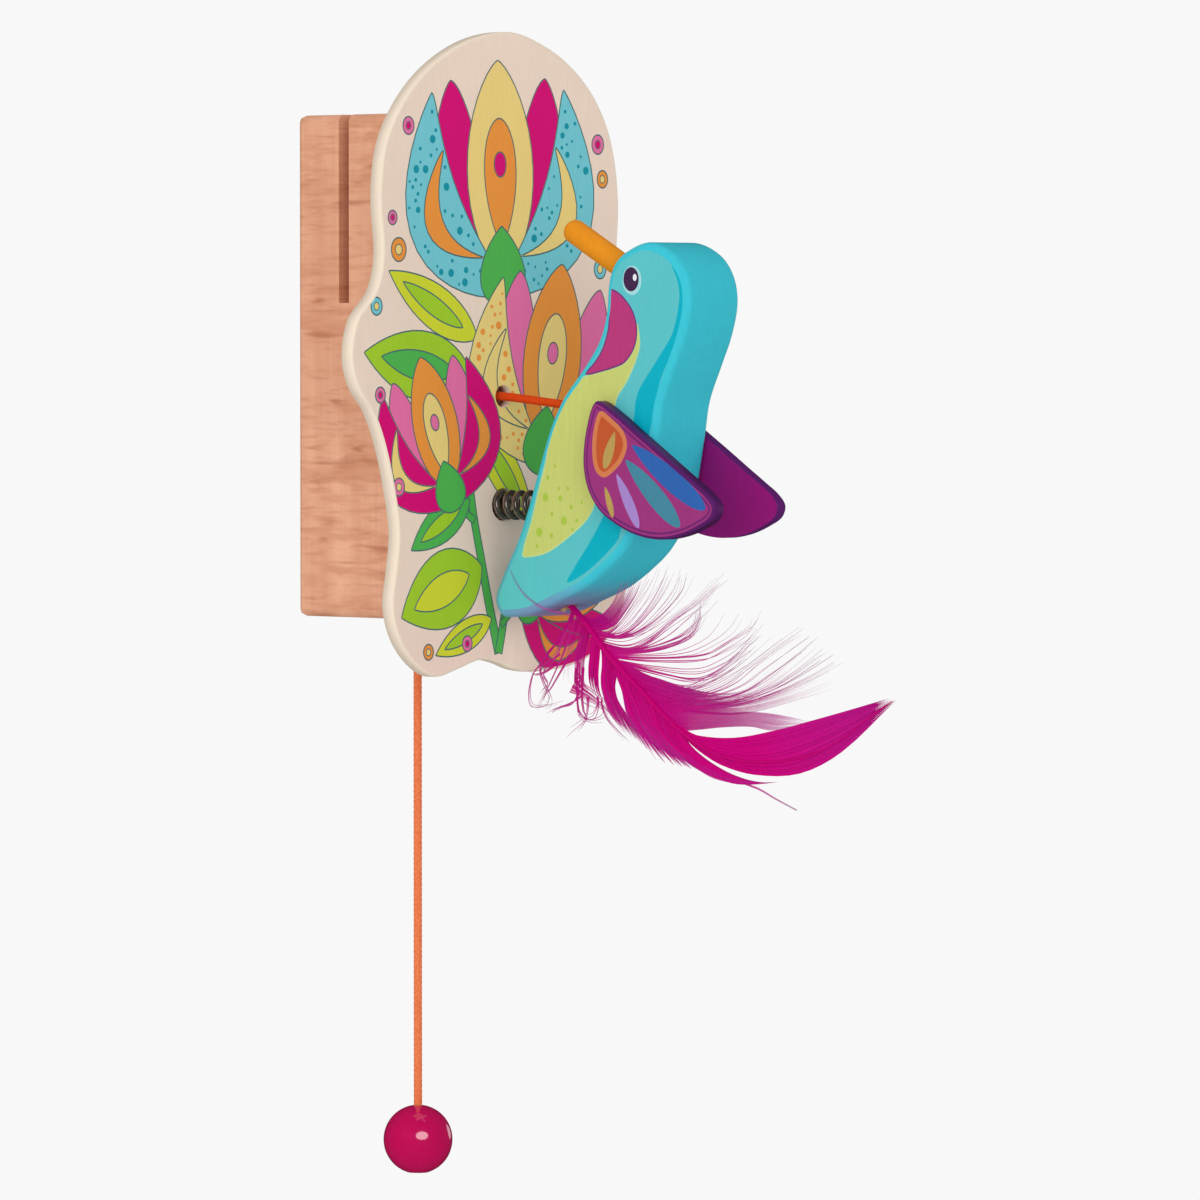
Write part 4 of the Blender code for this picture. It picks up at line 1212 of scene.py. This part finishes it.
def barb(name, root, middle, tip, opacity):
    """A dye that changes from a barb's root to its tip, and its tone a little from barb to barb."""
    tree = Tree(name)
    mapped = tree.put("SeparateXYZ", {"Vector": tree.put("TexCoord", {}).outputs["UV"]})
    number, share = mapped.outputs["X"], mapped.outputs["Y"]
    along = tree.ramp(share, (0.0, paint(root)), (0.55, paint(middle)), (1.0, paint(tip)))
    shade = tree.mix(1.0, along, (0.62, 0.5, 0.62, 1), "MULTIPLY")
    shade = tree.mix(tree.math("MULTIPLY", number, 0.32), along, shade)
    spotted = tree.mix(1.0, along, (0.6, 0.5, 0.6, 1), "MULTIPLY")
    shade = tree.over(shade, spotted, tree.noise((900, 900, 900)), 0.45, 0.8, 0.3)
    fade = tree.ramp(share, (0.0, opacity[0]), (0.6, (opacity[0] + opacity[1]) / 2), (1.0, opacity[1]))
    return tree.finish(Base_Color=shade, Roughness=0.55, Specular_IOR_Level=0.04, Alpha=fade)


def make_feather():
    shaft = smooth_curve(SHAFT_LINE, SHAFT_STEPS)
    materials = [barb("feather_" + name, *dye) for name, dye in DYES.items()]

    above = Barbs(shaft, 11)
    above.lock(VEIL, 84, SOFT, 0.36, 4, 1.15, 0.25)
    above.lock(BLADE, 24, SOFT, 0.12, 0, 1.9, 0.8)
    above.lock(TIP_ABOVE, 34, SOLID, 0.04, 0, 1.4, 0.97)
    above.between(LOOSE_ABOVE[9:], 24, 0.4, HAIR, 3.0)
    above.piece("barbs_above", materials, "feather_vane_upper")

    below = Barbs(shaft, 12)
    below.lock(TIP_BELOW, 20, SOLID, 0.06, 0, 1.4, 0.97)
    below.lock(LONG_BELOW, 26, SOLID, 0.12, 0, 1.3, 0.85)
    below.lock(MAIN_BELOW, 84, SOLID, 0.12, 4, 1.7, 0.82)
    below.lock(MAIN_BELOW, 34, HAZE, 0.01, 3, 1.3, 0.7)
    below.lock(NEAR_BELOW, 44, SOLID, 0.2, 4, 1.7, 0.78)
    below.lock(NEAR_BELOW, 20, HAZE, 0.02, 3, 1.3, 0.7)
    below.hair(STRAY_BARB, 0.9, HAIR, 0.0, 0.5)
    below.piece("barbs_below", materials, "feather_vane_lower")

    loose_above = Barbs(shaft, 13)
    loose_above.lock(ROOT_ABOVE, 44, HAZE, 0.3, 4, 2.4, 0.4)
    loose_above.tufts(LOOSE_ABOVE[:9], 4, 0.46, HAIR, 2.4)
    loose_above.between(LOOSE_ABOVE[:10], 48, 0.36, HAIR, 2.6)
    loose_above.piece("down_above", materials, "feather_down_upper")

    loose_below = Barbs(shaft, 14)
    loose_below.lock(BETWEEN_SLITS, 16, SOLID, 0.2, 4, 1.6, 0.6)
    loose_below.lock(ROOT_BELOW, 32, HAZE, 0.3, 4, 1.6, 0.6)
    loose_below.lock(ROOT_LEFT, 12, HAZE, 0.5, 3, 0.8, 0.3)
    loose_below.between(FELTED_BELOW, 12, 0.7, HAZE, 1.4)
    loose_below.lock(FRINGE_BELOW, 12, HAZE, 0.5, 3, 1.0, 0.4)
    loose_below.tufts(LOOSE_BELOW, 3, 0.62, HAIR, 1.2)
    sides = [0, body_low.x + HOOK_UNDER] + [body_low.x - HOOK_LIFT] * (len(HOOKED_BARB) - 2)
    loose_below.strand([on_bird(*p, side) for p, side in zip(HOOKED_BARB, sides)], 0.6, FAINT)
    loose_below.piece("down_below", materials, "feather_down_lower")

    horn = ink("feather_shaft", (204, 0, 118), 0.5, 0.05, 0.05)
    line = [shaft[0] + (shaft[0] - shaft[1]).normalized() * SHAFT_ROOT] + shaft

    def radius(share, _):
        return value_at(SHAFT_WIDTHS, share) / 2

    quill = sweep("quill", [on_bird(*p) for p in line], radius, QUILL_SIDES, [horn])
    stand_in(quill, "feather_quill", "bird")


# Cord

CORD_DIAMETER = 2.5
BRAID_STRANDS = 6
BRAID_PITCH = 1.5  # along the cord, for one crossing to the next
BRAID_STEP = 0.25
BRAID_SIDES = 30
BRAID_RELIEF = 0.16
FRONT_STEPS = 60
SWING_TOP = turn_high.z - 0.7
SWING_LOW = hang_high.z - 2.4


def braid_radius(length_at, angle):
    """The radius of a round braid, where each strand passes over and under the others."""
    round_at = angle / (2 * math.pi) * BRAID_STRANDS
    one, two = round_at + length_at / BRAID_PITCH, round_at - length_at / BRAID_PITCH
    over_one = (math.floor(one) + math.floor(two)) % 2 == 0
    across, lengthways = (one, two) if over_one else (two, one)
    ridge = math.sin(math.pi * (across % 1)) ** 0.5 * math.sin(math.pi * (lengthways % 1)) ** 0.35
    return CORD_DIAMETER / 2 - BRAID_RELIEF * (1 - ridge)


def braided(name, node, points, first_length, yarns, body=None):
    """A braided cord along the points, whose pattern starts at this length."""
    lengths = [first_length]
    for a, b in zip(points, points[1:]):
        lengths.append(lengths[-1] + (b - a).length)

    def radius(share, angle):
        return braid_radius(lengths[round(share * (len(points) - 1))], angle)

    cord = sweep(name, points, radius, BRAID_SIDES, [yarns])
    stand_in(cord, node, body)
    return cord


def plumb(top, low):
    count = max(2, round((top - low) / BRAID_STEP))
    return [Vector((cord_place.x, cord_place.y, top + (low - top) * i / count)) for i in range(count + 1)]


def make_cords(lit_yarns):
    hanging_line = plumb(SWING_LOW, hang_low.z)
    in_block = braided("cord_in_block", "cord_bore", plumb(bore_high.z, SWING_TOP), -bore_high.z, lit_yarns)
    flex = braided("cord_flex", "cord_turn", plumb(SWING_TOP, SWING_LOW), -SWING_TOP, lit_yarns)
    hanging = braided("cord_plumb", "cord_hanging", hanging_line, -SWING_LOW, lit_yarns, "pendulum")
    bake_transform(in_block)
    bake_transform(flex)

    # A deeper, redder copy of the cord's yarn, with painted shade, for the cord between the plate and the
    # bird's chest and for its inner piece.
    threads = yarn("painted_shade_braid", (240, 88, 30), (210, 58, 12))
    inner = frame["nodes"]["cord_inner"]
    inner.data.materials.clear()
    inner.data.materials.append(threads)
    _, front_high = node_box("cord_front")
    start = Vector((0, front_high.y, CORD_HOLE_HEIGHT))
    hole = Vector((0, plate_front, CORD_HOLE_HEIGHT))
    far, _ = cord_end()
    line = smooth_curve([start, hole, hole.lerp(far, 0.5), far], FRONT_STEPS)
    front = braided("cord_to_chest", "cord_front", line, 0.0, threads)
    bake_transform(front)
    return hanging, hanging_line


# Ball and knot

BALL_STEPS = 40
BALL_SIDES = 64
BALL_BORE = 3.1
RECESS = 6.0
RECESS_DEPTH = 6.2
KNOT_STEPS = 96
KNOT_SIDES = 16
KNOT_CORD = 0.36  # radius of the cord pulled tight, as a share of its diameter


def make_ball():
    """A turned ball with a bore for the cord and a recess for its knot."""
    low, high = node_box("pull_ball")
    radius = (high.x - low.x) / 2
    top_angle = math.asin(BALL_BORE / 2 / radius)
    low_angle = math.pi - math.asin(RECESS / 2 / radius)
    profile = []
    for i in range(BALL_STEPS + 1):
        a = top_angle + (low_angle - top_angle) * i / BALL_STEPS
        profile.append((radius * math.cos(a), radius * math.sin(a)))
    recess_top = -radius + RECESS_DEPTH
    profile += [(recess_top, RECESS / 2), (recess_top, BALL_BORE / 2)]
    middle = Vector((cord_place.x, cord_place.y, high.z - radius))
    up = Vector((0, 0, 1))
    bm = bmesh.new()
    made = skin(bm, [circle(middle + up * z, up, r, BALL_SIDES) for z, r in profile])
    band(bm, made[-1], made[0])
    ball = piece_from("gloss_ball", bm, [lacquer("magenta_gloss", (212, 0, 93))])
    ball.data.set_sharp_from_angle(angle=SHARP_ANGLE)
    stand_in(ball, "pull_ball", "pendulum")
    return ball


def make_knot(threads):
    """A tight overhand knot."""
    low, high = node_box("pull_knot")
    cord = CORD_DIAMETER * KNOT_CORD
    reach = (high - low) / 2 - Vector((cord, cord, cord))
    points = []
    for i in range(KNOT_STEPS + 1):
        a = 2 * math.pi * i / KNOT_STEPS
        x = (math.sin(a) + 2 * math.sin(2 * a)) / 3
        y = (math.cos(a) - 2 * math.cos(2 * a)) / 3
        points.append(low.lerp(high, 0.5) + Vector((x * reach.x, y * reach.y, -math.sin(3 * a) * reach.z)))
    knot = sweep("tied_knot", points, lambda share, a: cord, KNOT_SIDES, [threads])
    stand_in(knot, "pull_knot", "pendulum")
    return knot


# Studio

FLOOR_DROP = 1.0  # metres below the origin
FLOOR_HALF = 3.5
BACKGROUND = 0.94
AMBIENT = 0.62
REFLECTED = 0.02  # of the ambient light, in gloss


def make_studio():
    mesh = bpy.data.meshes.new("floor")
    low, high = -FLOOR_HALF, FLOOR_HALF
    corners = [(x, y, -FLOOR_DROP) for x, y in ((low, low), (high, low), (high, high), (low, high))]
    mesh.from_pydata(corners, [], [(0, 1, 2, 3)])
    mesh.materials.append(Tree("floor").finish(Base_Color=(0.85, 0.85, 0.85, 1), Roughness=0.9))
    floor = placed("floor", mesh)
    floor.visible_glossy = False

    world = bpy.data.worlds.new("studio")
    world.use_nodes = True
    nodes, links = world.node_tree.nodes, world.node_tree.links
    sky = nodes["Background"]
    sky.inputs["Color"].default_value = (1, 1, 1, 1)
    ray = nodes.new("ShaderNodeLightPath")
    strength = nodes.new("ShaderNodeMath")
    strength.operation = "MULTIPLY"
    for i, (kind, usual, special) in enumerate((
        ("Is Camera Ray", AMBIENT, BACKGROUND),
        ("Is Glossy Ray", 1.0, REFLECTED),
    )):
        share = nodes.new("ShaderNodeMapRange")
        share.inputs["To Min"].default_value = usual
        share.inputs["To Max"].default_value = special
        links.new(ray.outputs[kind], share.inputs["Value"])
        links.new(share.outputs["Result"], strength.inputs[i])
    links.new(strength.outputs[0], sky.inputs["Strength"])
    world.cycles.sampling_method = "NONE"
    bpy.context.scene.world = world

    for name, place, width, height, power in (
        ("key", (-1.59, -2.52, 0.7), 2.3, 1.5, 20),
        ("fill", (-2.4, -0.1, 0.7), 2.4, 2.4, 16.5),
        ("rim", (1.8, 0.0, -0.05), 0.6, 0.6, 1.2),
    ):
        data = bpy.data.lights.new(name, "AREA")
        data.shape = "ELLIPSE"
        data.size = width
        data.size_y = height
        data.energy = power
        light = placed(name, data)
        light.location = place
        light.rotation_euler = (-Vector(place)).to_track_quat("-Z", "Y").to_euler()
        light.visible_glossy = name != "fill"
    bpy.context.scene.view_settings.view_transform = "Standard"


def main():
    make_camera()
    # A paler copy of the same yarn, with painted light, for the lit cord in the block, the hanging cord and
    # the knot.
    lit_yarns = yarn("painted_light_braid", (250, 142, 92), (226, 106, 60))
    hanging, hanging_line = make_cords(lit_yarns)
    ball = make_ball()
    knot = make_knot(lit_yarns)
    make_studio()
    dress_block()
    make_plate()
    make_body()
    make_wings()
    dress_beak()
    make_spring()
    make_feather()


main()
